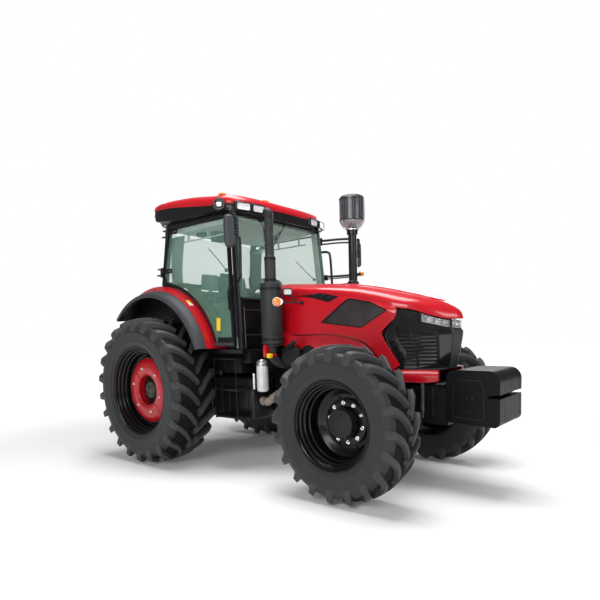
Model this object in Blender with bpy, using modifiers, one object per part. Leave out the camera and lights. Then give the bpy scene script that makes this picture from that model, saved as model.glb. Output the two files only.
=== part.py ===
"""Farm tractor with cab, four driven wheels, front weights and rear three-point lift.

Metres, +X forward, +Y left, +Z up, the ground at z = 0. Every size below is measured from the
rear axle line; the empty that carries all pieces moves that line to its place under the middle.
"""

import math

import bmesh
import bpy
from mathutils import Matrix, Vector
from mathutils.bvhtree import BVHTree

GAP = 0.0003  # seat clearance between pieces that touch

# Overall layout
WHEELBASE = 2.761
REACH_FRONT = WHEELBASE + 1.173  # front face of the weights
REACH_REAR = 1.10  # eyes of the lower links behind the rear axle
REAR_TRACK = 1.944
FRONT_TRACK = 1.862

# Tyres: lug tip radius, width, lugs on each side, lug height, half spacing of the beads and,
# below, the radius of the bead
REAR_TYRE = dict(radius=0.870, width=0.543, lugs=22, lug=0.050, seat=0.222)
FRONT_TYRE = dict(radius=0.702, width=0.418, lugs=20, lug=0.043, seat=0.176)
REAR_TYRE["bead"] = 0.5808 * REAR_TYRE["radius"]
FRONT_TYRE["bead"] = 0.5375 * FRONT_TYRE["radius"]
LUG_TOP = 0.24  # share of its foot by which each flank of a lug leans in
LUG_REACH = 0.11  # how far a lug's shoulder stands out past the carcass, as a share of the half width
RIM_WALL = 0.010
FLANGE = 0.027  # height of the rim's flange over the bead seat

# Hubs
REAR_DISC = 0.070  # outer face of the rear disc outboard of the wheel's middle plane
RED_CENTRE_R = 0.760 * REAR_TYRE["bead"]
RED_CENTRE_HOLE = 0.190
RED_CENTRE_DEEP = 0.046
FRONT_DISC = -0.088  # outer face of the front disc, inboard of the middle plane
FRONT_HUB_R = 0.215
FRONT_CAP_R = 0.131
FRONT_CAP_OUT = 0.130  # how far the cap stands out of the front disc

# Steering
KINGPIN_Y = 0.640
TIE_ROD_BACK = 0.190  # tie rod eyes behind the kingpins
EAR_IN = 0.100  # inner faces of the knuckle's ears above and below the axle's middle
AXLE_PIVOT_HALF = 0.200

# Hood
HOOD_WALL = 0.018
HOOD_HINGE = (1.520, 1.960)
HOOD_EAR = 0.250  # inner face of the hood's hinge ears

# Cab
SILL_Z = 1.385
CAB_TOP_Z = 2.830
CAB_HALF_SILL = 0.800
CAB_HALF_TOP = 0.735
CAB_FRONT_SILL = 1.372
CAB_FRONT_TOP = 1.262
CAB_REAR = -0.070
PILLAR = 0.060
CAB_INNER_HALF = 0.655  # half width between the wheels, below the fenders
DOOR_WALL = 0.030
GLASS = 0.008
ROOF_SKIRT_Z = 2.840
ROOF_JOIN_Z = 2.900  # from here up the roof is the red shell
POD_R = 0.056  # lamp pods on the roof's front corners

# Fenders
FENDER_WALL = 0.016
FENDER_FRONT_Z = 1.360

# Rear lift
LINK_PIVOT = (-0.160, 0.560)  # lower link pivots: x, z
SHAFT_PIVOT = (-0.160, 1.130)  # rockshaft: x, z
LIFT_ARM = 0.400  # arm length, and how far along the lower link its rod sits
ARM_Y = 0.340
ARM_HALF = 0.016
ROD_HALF = 0.012
LINK_HALF = 0.014
ROD_Y = ARM_Y + ARM_HALF + GAP + ROD_HALF
LINK_Y = ROD_Y + ROD_HALF + GAP + LINK_HALF
EAR_OUT = 0.367  # outer face of the ears that hold the lower links
HOUSING_HALF = 0.290
AXLE_TUBE_END = 0.660
LINK_LONG = 0.900
TOP_LINK = (-0.380, 1.020)
TOP_LINK_HALF = 0.022

MIDDLE_X = (REACH_FRONT - REACH_REAR) / 2


def empty_scene():
    for obj in list(bpy.data.objects):
        bpy.data.objects.remove(obj, do_unlink=True)


def new_collection(name, hidden=False):
    made = bpy.data.collections.new(name)
    made.hide_render = hidden
    bpy.context.scene.collection.children.link(made)
    return made


empty_scene()
PARTS = new_collection("farm_tractor")
WORK = new_collection("cutters", hidden=True)

DATUM = bpy.data.objects.new("rear_axle_line", None)
DATUM.location = (-MIDDLE_X, 0.0, 0.0)
PARTS.objects.link(DATUM)


def material(name, colour, roughness, metallic=0.0, transmission=0.0):
    made = bpy.data.materials.new(name)
    made.use_nodes = True
    shader = made.node_tree.nodes["Principled BSDF"]
    shader.inputs["Base Color"].default_value = (*colour, 1.0)
    shader.inputs["Roughness"].default_value = roughness
    shader.inputs["Metallic"].default_value = metallic
    shader.inputs["Transmission Weight"].default_value = transmission
    return made


RED = material("red_paint", (0.52, 0.008, 0.018), 0.25)
BLACK = material("black_paint", (0.012, 0.012, 0.013), 0.35)
GLOSS = material("gloss_black", (0.008, 0.008, 0.009), 0.12)
PLASTIC = material("dark_plastic", (0.035, 0.036, 0.038), 0.55)
IRON = material("cast_iron_black", (0.02, 0.02, 0.021), 0.5, 0.4)
RUBBER = material("tyre_rubber", (0.032, 0.032, 0.034), 0.75)
TINT = material("tinted_glass", (0.36, 0.5, 0.44), 0.05, 0.0, 0.9)
LAMP = material("lamp_lens", (0.75, 0.77, 0.8), 0.12)
SEAT = material("seat_cloth", (0.05, 0.05, 0.055), 0.85)
FILTER = material("filter_silver", (0.6, 0.6, 0.6), 0.35, 0.6)


def as_object(mesh, name="piece"):
    obj = bpy.data.objects.new(name, mesh)
    WORK.objects.link(obj)
    return obj


def from_bm(bm, name="piece"):
    bmesh.ops.recalc_face_normals(bm, faces=bm.faces)
    mesh = bpy.data.meshes.new(name)
    bm.to_mesh(mesh)
    bm.free()
    return as_object(mesh, name)


def baked(obj):
    """The object's evaluated shape as a new plain mesh in world space; the object itself is removed."""
    graph = bpy.context.evaluated_depsgraph_get()
    graph.update()
    mesh = bpy.data.meshes.new_from_object(obj.evaluated_get(graph), depsgraph=graph)
    mesh.transform(obj.matrix_world)
    bpy.data.objects.remove(obj, do_unlink=True)
    return mesh


def welded(obj):
    mesh = baked(obj)
    bm = bmesh.new()
    bm.from_mesh(mesh)
    bmesh.ops.remove_doubles(bm, verts=bm.verts, dist=0.00005)
    return from_bm(bm)


def moved(obj, matrix):
    obj.data.transform(matrix)
    return obj


def box(low, high, edge=0.0, steps=1):
    """A block between two corners, its edges rounded or chamfered by edge."""
    size = Vector(high) - Vector(low)
    middle = (Vector(high) + Vector(low)) / 2
    bm = bmesh.new()
    bmesh.ops.create_cube(bm, size=1.0)
    bmesh.ops.scale(bm, vec=size, verts=bm.verts)
    bmesh.ops.translate(bm, vec=middle, verts=bm.verts)
    if edge:
        bmesh.ops.bevel(
            bm, geom=bm.edges[:], offset=edge, segments=steps, affect="EDGES", profile=0.5
        )
    return from_bm(bm)


def rod(start, end, radius, end_radius=None, sides=16):
    """A round bar or cone from one point to another."""
    start = Vector(start)
    way = Vector(end) - start
    bm = bmesh.new()
    bmesh.ops.create_cone(
        bm,
        cap_ends=True,
        segments=sides,
        radius1=radius,
        radius2=radius if end_radius is None else end_radius,
        depth=way.length,
    )
    turn = way.to_track_quat("Z", "Y").to_matrix().to_4x4()
    bm.transform(Matrix.Translation(start + way / 2) @ turn)
    return from_bm(bm)


def turned(profile, centre, axis, steps, ring=False):
    """A turned shape: profile is (radius, height along the axis), a closed ring or axis to axis."""
    mesh = bpy.data.meshes.new("profile")
    count = len(profile)
    edges = [(i, i + 1) for i in range(count - 1)]
    if ring:
        edges.append((count - 1, 0))
    mesh.from_pydata([(r, 0.0, h) for r, h in profile], edges, [])
    obj = as_object(mesh)
    screw = obj.modifiers.new("turn", "SCREW")
    screw.steps = steps
    screw.render_steps = steps
    screw.use_merge_vertices = True
    screw.merge_threshold = 0.00005
    made = welded(obj)
    turn = Vector((0, 0, 1)).rotation_difference(Vector(axis)).to_matrix().to_4x4()
    return moved(made, Matrix.Translation(Vector(centre)) @ turn)


def pipe(points, radius, fine=2):
    """A bent round pipe through the points."""
    curve = bpy.data.curves.new("pipe", "CURVE")
    curve.dimensions = "3D"
    curve.bevel_depth = radius
    curve.bevel_resolution = fine
    curve.use_fill_caps = True
    spline = curve.splines.new("POLY")
    spline.points.add(len(points) - 1)
    for point, place in zip(spline.points, points):
        point.co = (*place, 1.0)
    obj = bpy.data.objects.new("pipe", curve)
    WORK.objects.link(obj)
    return welded(obj)


AXES = {"XZ": ((1, 0, 0), (0, 0, 1)), "XY": ((1, 0, 0), (0, 1, 0)), "YZ": ((0, 1, 0), (0, 0, 1))}


def plate(outline, plane, near, far, holes=()):
    """A flat plate: an outline, with holes, filled in its plane and given thickness near to far."""
    curve = bpy.data.curves.new("plate", "CURVE")
    curve.dimensions = "2D"
    curve.fill_mode = "BOTH"
    curve.extrude = abs(far - near) / 2
    for loop in (outline, *holes):
        spline = curve.splines.new("POLY")
        spline.points.add(len(loop) - 1)
        spline.use_cyclic_u = True
        for point, (a, b) in zip(spline.points, loop):
            point.co = (a, b, 0.0, 1.0)
    obj = bpy.data.objects.new("plate", curve)
    WORK.objects.link(obj)
    made = welded(obj)
    right, up = (Vector(v) for v in AXES[plane])
    out = right.cross(up)
    turn = Matrix((right, up, out)).transposed().to_4x4()
    middle = (near + far) / 2
    offset = Vector((0, middle, 0)) if plane == "XZ" else out * middle
    return moved(made, Matrix.Translation(offset) @ turn)


def loft(rings):
    """A closed body through rings of as many points each, its two ends filled."""
    bm = bmesh.new()
    rows = [[bm.verts.new(p) for p in ring] for ring in rings]
    count = len(rows[0])
    for low, high in zip(rows, rows[1:]):
        for i in range(count):
            j = (i + 1) % count
            bm.faces.new((low[i], low[j], high[j], high[i]))
    bm.faces.new(rows[0])
    bm.faces.new(rows[-1])
    return from_bm(bm)


def skin(rows, wall, mirrored=True):
    """A shell: a grid of points given a thickness inward, mirrored across the middle if asked."""
    bm = bmesh.new()
    verts = [[bm.verts.new(p) for p in row] for row in rows]
    for low, high in zip(verts, verts[1:]):
        for i in range(len(low) - 1):
            bm.faces.new((low[i], low[i + 1], high[i + 1], high[i]))
    if mirrored:
        copy = bmesh.ops.duplicate(bm, geom=bm.verts[:] + bm.edges[:] + bm.faces[:])
        half = [v for v in copy["geom"] if isinstance(v, bmesh.types.BMVert)]
        bmesh.ops.scale(bm, vec=(1, -1, 1), verts=half)
        bmesh.ops.remove_doubles(bm, verts=bm.verts, dist=0.00005)
    obj = from_bm(bm)
    thick = obj.modifiers.new("wall", "SOLIDIFY")
    thick.thickness = wall
    thick.offset = -1.0
    thick.use_even_offset = True
    return welded(obj)


def combined(base, others, how):
    for other in others:
        step = base.modifiers.new("step", "BOOLEAN")
        step.operation = how
        step.object = other
    made = welded(base)
    for other in others:
        bpy.data.objects.remove(other, do_unlink=True)
    return made


def fused(base, *others):
    return combined(base, others, "UNION")


def cut(base, *others):
    return combined(base, others, "DIFFERENCE")


def node(name, obj, look, pivot=(0, 0, 0)):
    """Files a finished body under its own name, with its origin at its pivot."""
    obj.name = name
    obj.data.name = name
    obj.data.materials.clear()
    obj.data.materials.append(look)
    obj.data.transform(Matrix.Translation(-Vector(pivot)))
    obj.data.shade_smooth()
    obj.data.set_sharp_from_angle(angle=math.radians(35))
    obj.location = pivot
    obj.parent = DATUM
    WORK.objects.unlink(obj)
    PARTS.objects.link(obj)
    return obj


def arc(centre, radius, start, end, count):
    """Points on an arc, angles in degrees."""
    return [
        (
            centre[0] + radius * math.cos(math.radians(start + (end - start) * i / (count - 1))),
            centre[1] + radius * math.sin(math.radians(start + (end - start) * i / (count - 1))),
        )
        for i in range(count)
    ]


SIDES = (("right", -1), ("left", 1))


def axle_height(tyre):
    """Height of the wheel's axis: the foot rests on a facet between two lug edges."""
    return tyre["radius"] * math.cos(math.pi / (2 * tyre["lugs"]) * (1 - 2 * LUG_TOP))


REAR_Z = axle_height(REAR_TYRE)
FRONT_Z = axle_height(FRONT_TYRE)

# Heights at the front end, from the front axle
AXLE_PIVOT_Z = FRONT_Z + 0.0970
FRAME_LOW = FRONT_Z + 0.1686
FRAME_TOP = FRONT_Z + 0.3086
CARRIER_LOW = FRONT_Z - 0.0614
TIE_ROD_Z = FRONT_Z - 0.0614
TIE_ARM_TOP = FRONT_Z - 0.0954
WEIGHT_FOOT = FRONT_Z - 0.0514
WEIGHT_TOP = FRONT_Z + 0.4486
MASK_FOOT = FRONT_Z + 0.4346
MASK_TOP = 1.550

# Fender arcs beside the wheel: (y, centre x, centre z, radius)
FENDER_LIP = (1.050, 0.020, REAR_Z + 0.1756, REAR_TYRE["radius"] + 0.090)
FENDER_STEP = (0.940, 0.060, REAR_Z + 0.2406, REAR_TYRE["radius"] + 0.060)
FENDER_TOP = (0.820, -0.060, REAR_Z + 0.1646, REAR_TYRE["radius"] + 0.210)
FENDER_CREST = FENDER_TOP[2] + FENDER_TOP[3]
FENDER_REAR_Z = REAR_Z + 0.8606


def tyre_body(tyre, centre):
    """A lugged tyre about Y: a carcass of slanted columns with a lug raised on every other one.

    Stations run from the middle line to the bead. Each has the share of the half width, the
    carcass radius, the lug's height there and how far back the columns lean, in pitches.
    """
    half = tyre["width"] / 2
    tip = tyre["radius"]
    lug = tyre["lug"]
    tall = tip - tyre["bead"]
    # share of half width, depth of the carcass below the lug tips, lug height, lean
    stations = (
        (0.00, lug, lug, 0.00),
        (0.42, lug + 0.010 * tall, lug * 0.96, 0.50),
        (0.84, lug + 0.085 * tall, lug * 0.80, 0.90),
        (0.985, 0.400 * tall, 0.0, 1.00),
        (1.000, 0.620 * tall, 0.0, 1.00),
        (tyre["seat"] / half, tall, 0.0, 1.00),
    )
    lugs = tyre["lugs"]
    columns = 2 * lugs
    pitch = 2 * math.pi / lugs
    bm = bmesh.new()

    def spot(share, radius, side, column, lean, shift=0.0):
        # A facet faces straight down when a column edge lies half a step past the bottom.
        angle = -math.pi / 2 + (column + 0.5 + shift) * pitch / 2 + lean * pitch
        return bm.verts.new(
            (
                centre[0] + radius * math.cos(angle),
                centre[1] + side * share * half,
                centre[2] + radius * math.sin(angle),
            )
        )

    middle = [spot(0, tip - lug, 1, c, 0) for c in range(columns)]
    base = {}
    for side in (-1, 1):
        rows = [middle]
        for share, depth, _, lean in stations[1:]:
            rows.append([spot(share, tip - depth, side, c, lean) for c in range(columns)])
        base[side] = rows
        first = 0 if side > 0 else 1
        for c in range(columns):
            d = (c + 1) % columns
            raised = c % 2 == first
            tops = []
            if raised:
                for share, depth, height, lean in stations[:3]:
                    reach = share + (LUG_REACH if share > 0.8 else 0.0)
                    out = tip - depth + height
                    near = spot(reach, out, side, c, lean, LUG_TOP)
                    far = spot(reach, out, side, c + 1, lean, -LUG_TOP)
                    tops.append((near, far))
            for i in range(len(rows) - 1):
                low, high = rows[i], rows[i + 1]
                if raised and i < 2:
                    a, b = tops[i], tops[i + 1]
                    bm.faces.new((a[0], a[1], b[1], b[0]))
                    bm.faces.new((low[c], a[0], b[0], high[c]))
                    bm.faces.new((low[d], high[d], b[1], a[1]))
                elif raised and i == 2:
                    a = tops[2]
                    bm.faces.new((a[0], a[1], high[d], high[c]))
                    bm.faces.new((low[c], a[0], high[c]))
                    bm.faces.new((low[d], high[d], a[1]))
                else:
                    bm.faces.new((low[c], low[d], high[d], high[c]))
            if raised:
                a = tops[0]
                bm.faces.new((middle[c], middle[d], a[1], a[0]))
    left, right = base[1][-1], base[-1][-1]
    for c in range(columns):
        d = (c + 1) % columns
        bm.faces.new((left[c], left[d], right[d], right[c]))
    return from_bm(bm)


def rim_seat(tyre):
    """Radius of the rim under the bead, inside the flats of the tyre's bore."""
    return tyre["bead"] * math.cos(math.pi / (2 * tyre["lugs"])) - GAP


def rim_ring(tyre, out):
    """Profile of a rim with its two flanges; out is +1 or -1 for the outboard direction."""
    seat = rim_seat(tyre)
    top = seat + FLANGE
    edge = tyre["seat"]
    lip = edge + 0.013
    well = seat - 0.050
    deep = edge - 0.070
    wall = RIM_WALL
    ring = [
        (top, lip + 0.010),
        (top, lip),
        (seat, edge + 0.004),
        (seat, edge - 0.020),
        (well, deep),
        (well, -deep),
        (seat, 0.020 - edge),
        (seat, -edge - 0.004),
        (top, -lip),
        (top, -lip - 0.010),
        (seat - wall, -edge - 0.006),
        (well - wall, 0.003 - deep),
        (well - wall, deep - 0.003),
        (seat - wall, edge + 0.006),
    ]
    return [(r, out * h) for r, h in ring]


WHEEL_STEPS = 28


def rear_wheel(name, side):
    centre = (0.0, side * REAR_TRACK / 2, REAR_Z)
    node("tyre_rear_" + name, tyre_body(REAR_TYRE, centre), RUBBER, centre)
    rim = turned(rim_ring(REAR_TYRE, side), centre, (0, 1, 0), WHEEL_STEPS, ring=True)
    well = rim_seat(REAR_TYRE) - 0.050 - RIM_WALL / 2
    face = side * REAR_DISC
    hub_back = AXLE_TUBE_END + GAP - REAR_TRACK / 2
    disc = turned(
        [
            (0.0, face - side * 0.030),
            (0.100, face - side * 0.030),
            (0.130, face - side * 0.050),
            (RED_CENTRE_HOLE - 0.004, face - side * 0.050),
            (RED_CENTRE_HOLE - 0.004, face),
            (RED_CENTRE_R + 0.010, face),
            (well, face - side * 0.040),
            (well, face - side * 0.054),
            (0.260, face - side * 0.054),
            (0.130, side * hub_back),
            (0.0, side * hub_back),
        ],
        centre,
        (0, 1, 0),
        WHEEL_STEPS,
    )
    node("rim_rear_" + name, fused(rim, disc), GLOSS, centre)
    red = turned(
        [
            (RED_CENTRE_HOLE, face + side * GAP),
            (RED_CENTRE_R, face + side * GAP),
            (RED_CENTRE_R, face + side * 0.012),
            (RED_CENTRE_R - 0.052, face + side * RED_CENTRE_DEEP),
            (RED_CENTRE_HOLE + 0.012, face + side * RED_CENTRE_DEEP),
            (RED_CENTRE_HOLE, face + side * (RED_CENTRE_DEEP - 0.012)),
        ],
        centre,
        (0, 1, 0),
        WHEEL_STEPS,
        ring=True,
    )
    node("wheel_centre_rear_" + name, red, RED, centre)


def front_wheel(name, side):
    centre = (WHEELBASE, side * FRONT_TRACK / 2, FRONT_Z)
    node("tyre_front_" + name, tyre_body(FRONT_TYRE, centre), RUBBER, centre)
    rim = turned(rim_ring(FRONT_TYRE, side), centre, (0, 1, 0), WHEEL_STEPS, ring=True)
    well = rim_seat(FRONT_TYRE) - 0.050 - RIM_WALL / 2
    face = side * FRONT_DISC
    disc = turned(
        [
            (0.0, face + side * FRONT_CAP_OUT),
            (FRONT_CAP_R - 0.012, face + side * FRONT_CAP_OUT),
            (FRONT_CAP_R, face + side * (FRONT_CAP_OUT - 0.012)),
            (FRONT_CAP_R + 0.004, face + side * 0.060),
            (FRONT_CAP_R + 0.020, face + side * 0.034),
            (FRONT_HUB_R, face + side * 0.030),
            (FRONT_HUB_R, face),
            (FRONT_HUB_R + 0.030, face),
            (well, face + side * 0.050),
            (well, face + side * 0.036),
            (0.230, face - side * 0.014),
            (0.175, face - side * 0.014),
            (0.165, face - side * 0.075),
            (0.0, face - side * 0.075),
        ],
        centre,
        (0, 1, 0),
        WHEEL_STEPS,
    )
    node("rim_front_" + name, fused(rim, disc), GLOSS, centre)


# Inner face of the front wheel's hub, where the knuckle starts
FRONT_HUB_INNER = FRONT_TRACK / 2 + FRONT_DISC - 0.075


def knuckle(name, side):
    """Swivel housing between the axle's end and the wheel hub, with the arm of the tie rod."""
    pin = (WHEELBASE, side * KINGPIN_Y, FRONT_Z)
    body = rod(
        (WHEELBASE, side * (KINGPIN_Y + 0.052), FRONT_Z),
        (WHEELBASE, side * (FRONT_HUB_INNER - GAP), FRONT_Z),
        0.150,
        sides=20,
    )
    ears = [
        box(
            (WHEELBASE - 0.050, min(side * 0.585, side * 0.710), FRONT_Z + low),
            (WHEELBASE + 0.050, max(side * 0.585, side * 0.710), FRONT_Z + high),
            0.010,
        )
        for low, high in ((EAR_IN, 0.140), (-0.140, -EAR_IN))
    ]
    pins = [
        rod((WHEELBASE, pin[1], FRONT_Z + a), (WHEELBASE, pin[1], FRONT_Z + b), 0.042, sides=12)
        for a, b in ((0.135, 0.165), (-0.165, -0.135))
    ]
    arm = box(
        (WHEELBASE - TIE_ROD_BACK - 0.028, side * KINGPIN_Y - 0.024, TIE_ARM_TOP - 0.030),
        (WHEELBASE - 0.100, side * KINGPIN_Y + 0.024, TIE_ARM_TOP),
        0.006,
    )
    link = box(
        (WHEELBASE - 0.150, side * KINGPIN_Y - 0.022, TIE_ARM_TOP - 0.028),
        (WHEELBASE - 0.040, side * KINGPIN_Y + 0.022, FRONT_Z - EAR_IN - 0.004),
        0.004,
    )
    node("knuckle_" + name, fused(body, *ears, *pins, arm, link), IRON, pin)


def tie_rod():
    x = WHEELBASE - TIE_ROD_BACK
    low = (x, -KINGPIN_Y, TIE_ROD_Z)
    high = (x, KINGPIN_Y, TIE_ROD_Z)
    bar = rod(low, high, 0.020, sides=12)
    eyes = [
        rod((x, y, TIE_ARM_TOP + GAP), (x, y, TIE_ROD_Z + 0.028), 0.030, sides=12)
        for y in (-KINGPIN_Y, KINGPIN_Y)
    ]
    node("tie_rod", fused(bar, *eyes), BLACK, high)


def front_axle():
    """Driven axle beam with its drop box in the middle and a cup at each end."""
    beam = loft(
        [
            [
                (WHEELBASE - w, y, FRONT_Z - h),
                (WHEELBASE + w, y, FRONT_Z - h),
                (WHEELBASE + w, y, FRONT_Z + h),
                (WHEELBASE - w, y, FRONT_Z + h),
            ]
            # y, half depth, half height
            for y, w, h in (
                (-0.662, 0.045, 0.090),
                (-0.600, 0.060, 0.090),
                (-0.520, 0.075, 0.085),
                (-0.180, 0.095, 0.100),
                (0.180, 0.095, 0.100),
                (0.520, 0.075, 0.085),
                (0.600, 0.060, 0.090),
                (0.662, 0.045, 0.090),
            )
        ]
    )
    bulge = turned(
        [(0.0, 0.16), (0.10, 0.14), (0.155, 0.05), (0.155, -0.05), (0.10, -0.14), (0.0, -0.16)],
        (WHEELBASE + 0.04, -0.060, FRONT_Z),
        (0, 1, 0),
        16,
    )
    pivot = rod(
        (WHEELBASE - AXLE_PIVOT_HALF, 0, AXLE_PIVOT_Z),
        (WHEELBASE + AXLE_PIVOT_HALF, 0, AXLE_PIVOT_Z),
        0.045,
        sides=16,
    )
    kingpins = [
        rod(
            (WHEELBASE, side * KINGPIN_Y, FRONT_Z - EAR_IN + GAP),
            (WHEELBASE, side * KINGPIN_Y, FRONT_Z + EAR_IN - GAP),
            0.034,
            sides=12,
        )
        for side in (-1, 1)
    ]
    node("front_axle", fused(beam, bulge, pivot, *kingpins), IRON)


FRAME_HALF = 0.250
WEIGHT_HALF = 0.297
WEIGHT_REAR = WHEELBASE + 0.694
FRAME_REAR = WHEELBASE - 0.461
ENGINE_FRONT = WHEELBASE - 0.261
WEIGHT_COUNT = 10


def front_frame():
    """Cast bolster over the front axle with the carrier for the weights ahead of it."""
    side_view = [
        (FRAME_REAR, FRAME_LOW),
        (WHEELBASE + 0.219, FRAME_LOW),
        (WHEELBASE + 0.319, CARRIER_LOW),
        (WEIGHT_REAR - GAP, CARRIER_LOW),
        (WEIGHT_REAR - GAP, FRAME_TOP),
        (FRAME_REAR, FRAME_TOP),
    ]
    body = plate(side_view, "XZ", -FRAME_HALF, FRAME_HALF)
    lugs = [
        box((x - 0.030, -0.130, AXLE_PIVOT_Z - 0.060), (x + 0.030, 0.130, FRAME_LOW + 0.020))
        for x in (
            WHEELBASE - AXLE_PIVOT_HALF - GAP - 0.030,
            WHEELBASE + AXLE_PIVOT_HALF + GAP + 0.030,
        )
    ]
    hollow = box(
        (WHEELBASE + 0.379, -0.170, CARRIER_LOW - 0.040),
        (WEIGHT_REAR - 0.055, 0.170, FRAME_TOP - 0.070),
    )
    node("front_frame", cut(fused(body, *lugs), hollow), IRON)


def front_weights():
    """Row of suitcase weights, joined where they hang on the carrier, each with its own face."""
    slot_z = WEIGHT_TOP - 0.225
    outline = (
        [(WEIGHT_REAR, WEIGHT_FOOT + 0.030), (REACH_FRONT - 0.040, WEIGHT_FOOT + 0.014)]
        + arc((REACH_FRONT - 0.050, WEIGHT_FOOT + 0.070), 0.050, -50, 0, 3)
        + [(REACH_FRONT, slot_z - 0.012), (REACH_FRONT - 0.110, slot_z - 0.012)]
        + [(REACH_FRONT - 0.110, slot_z + 0.020), (REACH_FRONT, slot_z + 0.020)]
        + arc((REACH_FRONT - 0.110, WEIGHT_TOP - 0.110), 0.110, 0, 90, 5)
        + [(WEIGHT_REAR + 0.080, WEIGHT_TOP), (WEIGHT_REAR, WEIGHT_TOP - 0.060)]
    )
    body = plate(outline, "XZ", -WEIGHT_HALF, WEIGHT_HALF)
    pitch = 2 * WEIGHT_HALF / WEIGHT_COUNT
    grooves = [
        box(
            (REACH_FRONT - 0.014, -WEIGHT_HALF + pitch * i - 0.003, WEIGHT_FOOT - 0.05),
            (REACH_FRONT + 0.050, -WEIGHT_HALF + pitch * i + 0.003, WEIGHT_TOP + 0.05),
        )
        for i in range(1, WEIGHT_COUNT)
    ]
    node("front_weights", cut(body, *grooves), IRON)


def driveline():
    """Engine, gearbox and rear axle housing: the tractor's backbone."""
    engine = box((1.520, -0.270, 0.760), (ENGINE_FRONT, 0.270, 1.560), 0.020)
    sump = box((1.600, -0.170, 0.600), (FRAME_REAR - 0.010, 0.170, 0.780), 0.020)
    hx, hz = HOOD_HINGE
    posts = [
        box(
            (hx + 0.004, min(side * (HOOD_EAR - GAP), side * (HOOD_EAR - 0.024)), 1.540),
            (hx + 0.050, max(side * (HOOD_EAR - GAP), side * (HOOD_EAR - 0.024)), hz + 0.020),
        )
        for side in (-1, 1)
    ]
    block = fused(engine, sump, *posts)
    rest = box(
        (FRAME_REAR - 0.015, -0.300, CARRIER_LOW), (ENGINE_FRONT + 0.100, 0.300, FRAME_TOP + GAP)
    )
    node("engine_block", cut(block, rest), IRON)
    case = loft(
        [
            [(x, -w, low), (x, w, low), (x, w, high), (x, -w, high)]
            # x, half width, bottom, top
            for x, w, low, high in (
                (0.292, 0.270, 0.560, 1.120),
                (0.700, 0.240, 0.560, 1.060),
                (1.250, 0.250, 0.600, 1.060),
                (1.360, 0.300, 0.620, 1.180),
                (1.520 - GAP, 0.300, 0.620, 1.180),
            )
        ]
    )
    node("transmission_case", case, IRON)
    centre = box(
        (-0.330, -HOUSING_HALF, 0.560), (0.292 - GAP, HOUSING_HALF, 1.180), 0.020
    )
    trumpets = [
        turned(
            [
                (0.0, AXLE_TUBE_END),
                (0.175, AXLE_TUBE_END),
                (0.175, 0.600),
                (0.120, 0.560),
                (0.165, 0.250),
                (0.0, 0.250),
            ],
            (0, 0, REAR_Z),
            (0, side, 0),
            20,
        )
        for side in (-1, 1)
    ]
    lift_box = box((-0.300, -0.200, 1.150), (0.220, 0.200, 1.240), 0.020)
    ears = [
        box(
            (LINK_PIVOT[0] - 0.050, side * (EAR_OUT - 0.022) - 0.022, 0.500),
            (LINK_PIVOT[0] + 0.050, side * (EAR_OUT - 0.022) + 0.022, 0.620),
            0.008,
        )
        for side in (-1, 1)
    ]
    ribs = [
        box(
            (LINK_PIVOT[0] - 0.050, side * 0.300 - 0.060, 0.585),
            (LINK_PIVOT[0] + 0.050, side * 0.300 + 0.060, 0.660),
        )
        for side in (-1, 1)
    ]
    drawbar = box((-0.700, -0.045, 0.420), (0.100, 0.045, 0.460), 0.006)
    hanger = box((-0.250, -0.110, 0.430), (-0.150, 0.110, 0.600), 0.008)
    hanger_two = box((0.000, -0.110, 0.430), (0.090, 0.110, 0.600), 0.008)
    shaft = rod((-0.460, 0, 0.700), (-0.300, 0, 0.700), 0.026, sides=12)
    guard = rod((-0.350, 0, 0.700), (-0.300, 0, 0.700), 0.075, sides=16)
    tx, tz = TOP_LINK
    top_ears = [
        box(
            (tx - 0.028, min(side * (TOP_LINK_HALF + GAP), side * 0.042), tz - 0.030),
            (-0.300, max(side * (TOP_LINK_HALF + GAP), side * 0.042), tz + 0.030),
        )
        for side in (-1, 1)
    ]
    node(
        "rear_axle_housing",
        fused(
            centre,
            *trumpets,
            lift_box,
            *ears,
            *ribs,
            *top_ears,
            drawbar,
            hanger,
            hanger_two,
            shaft,
            guard,
        ),
        IRON,
    )


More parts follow.
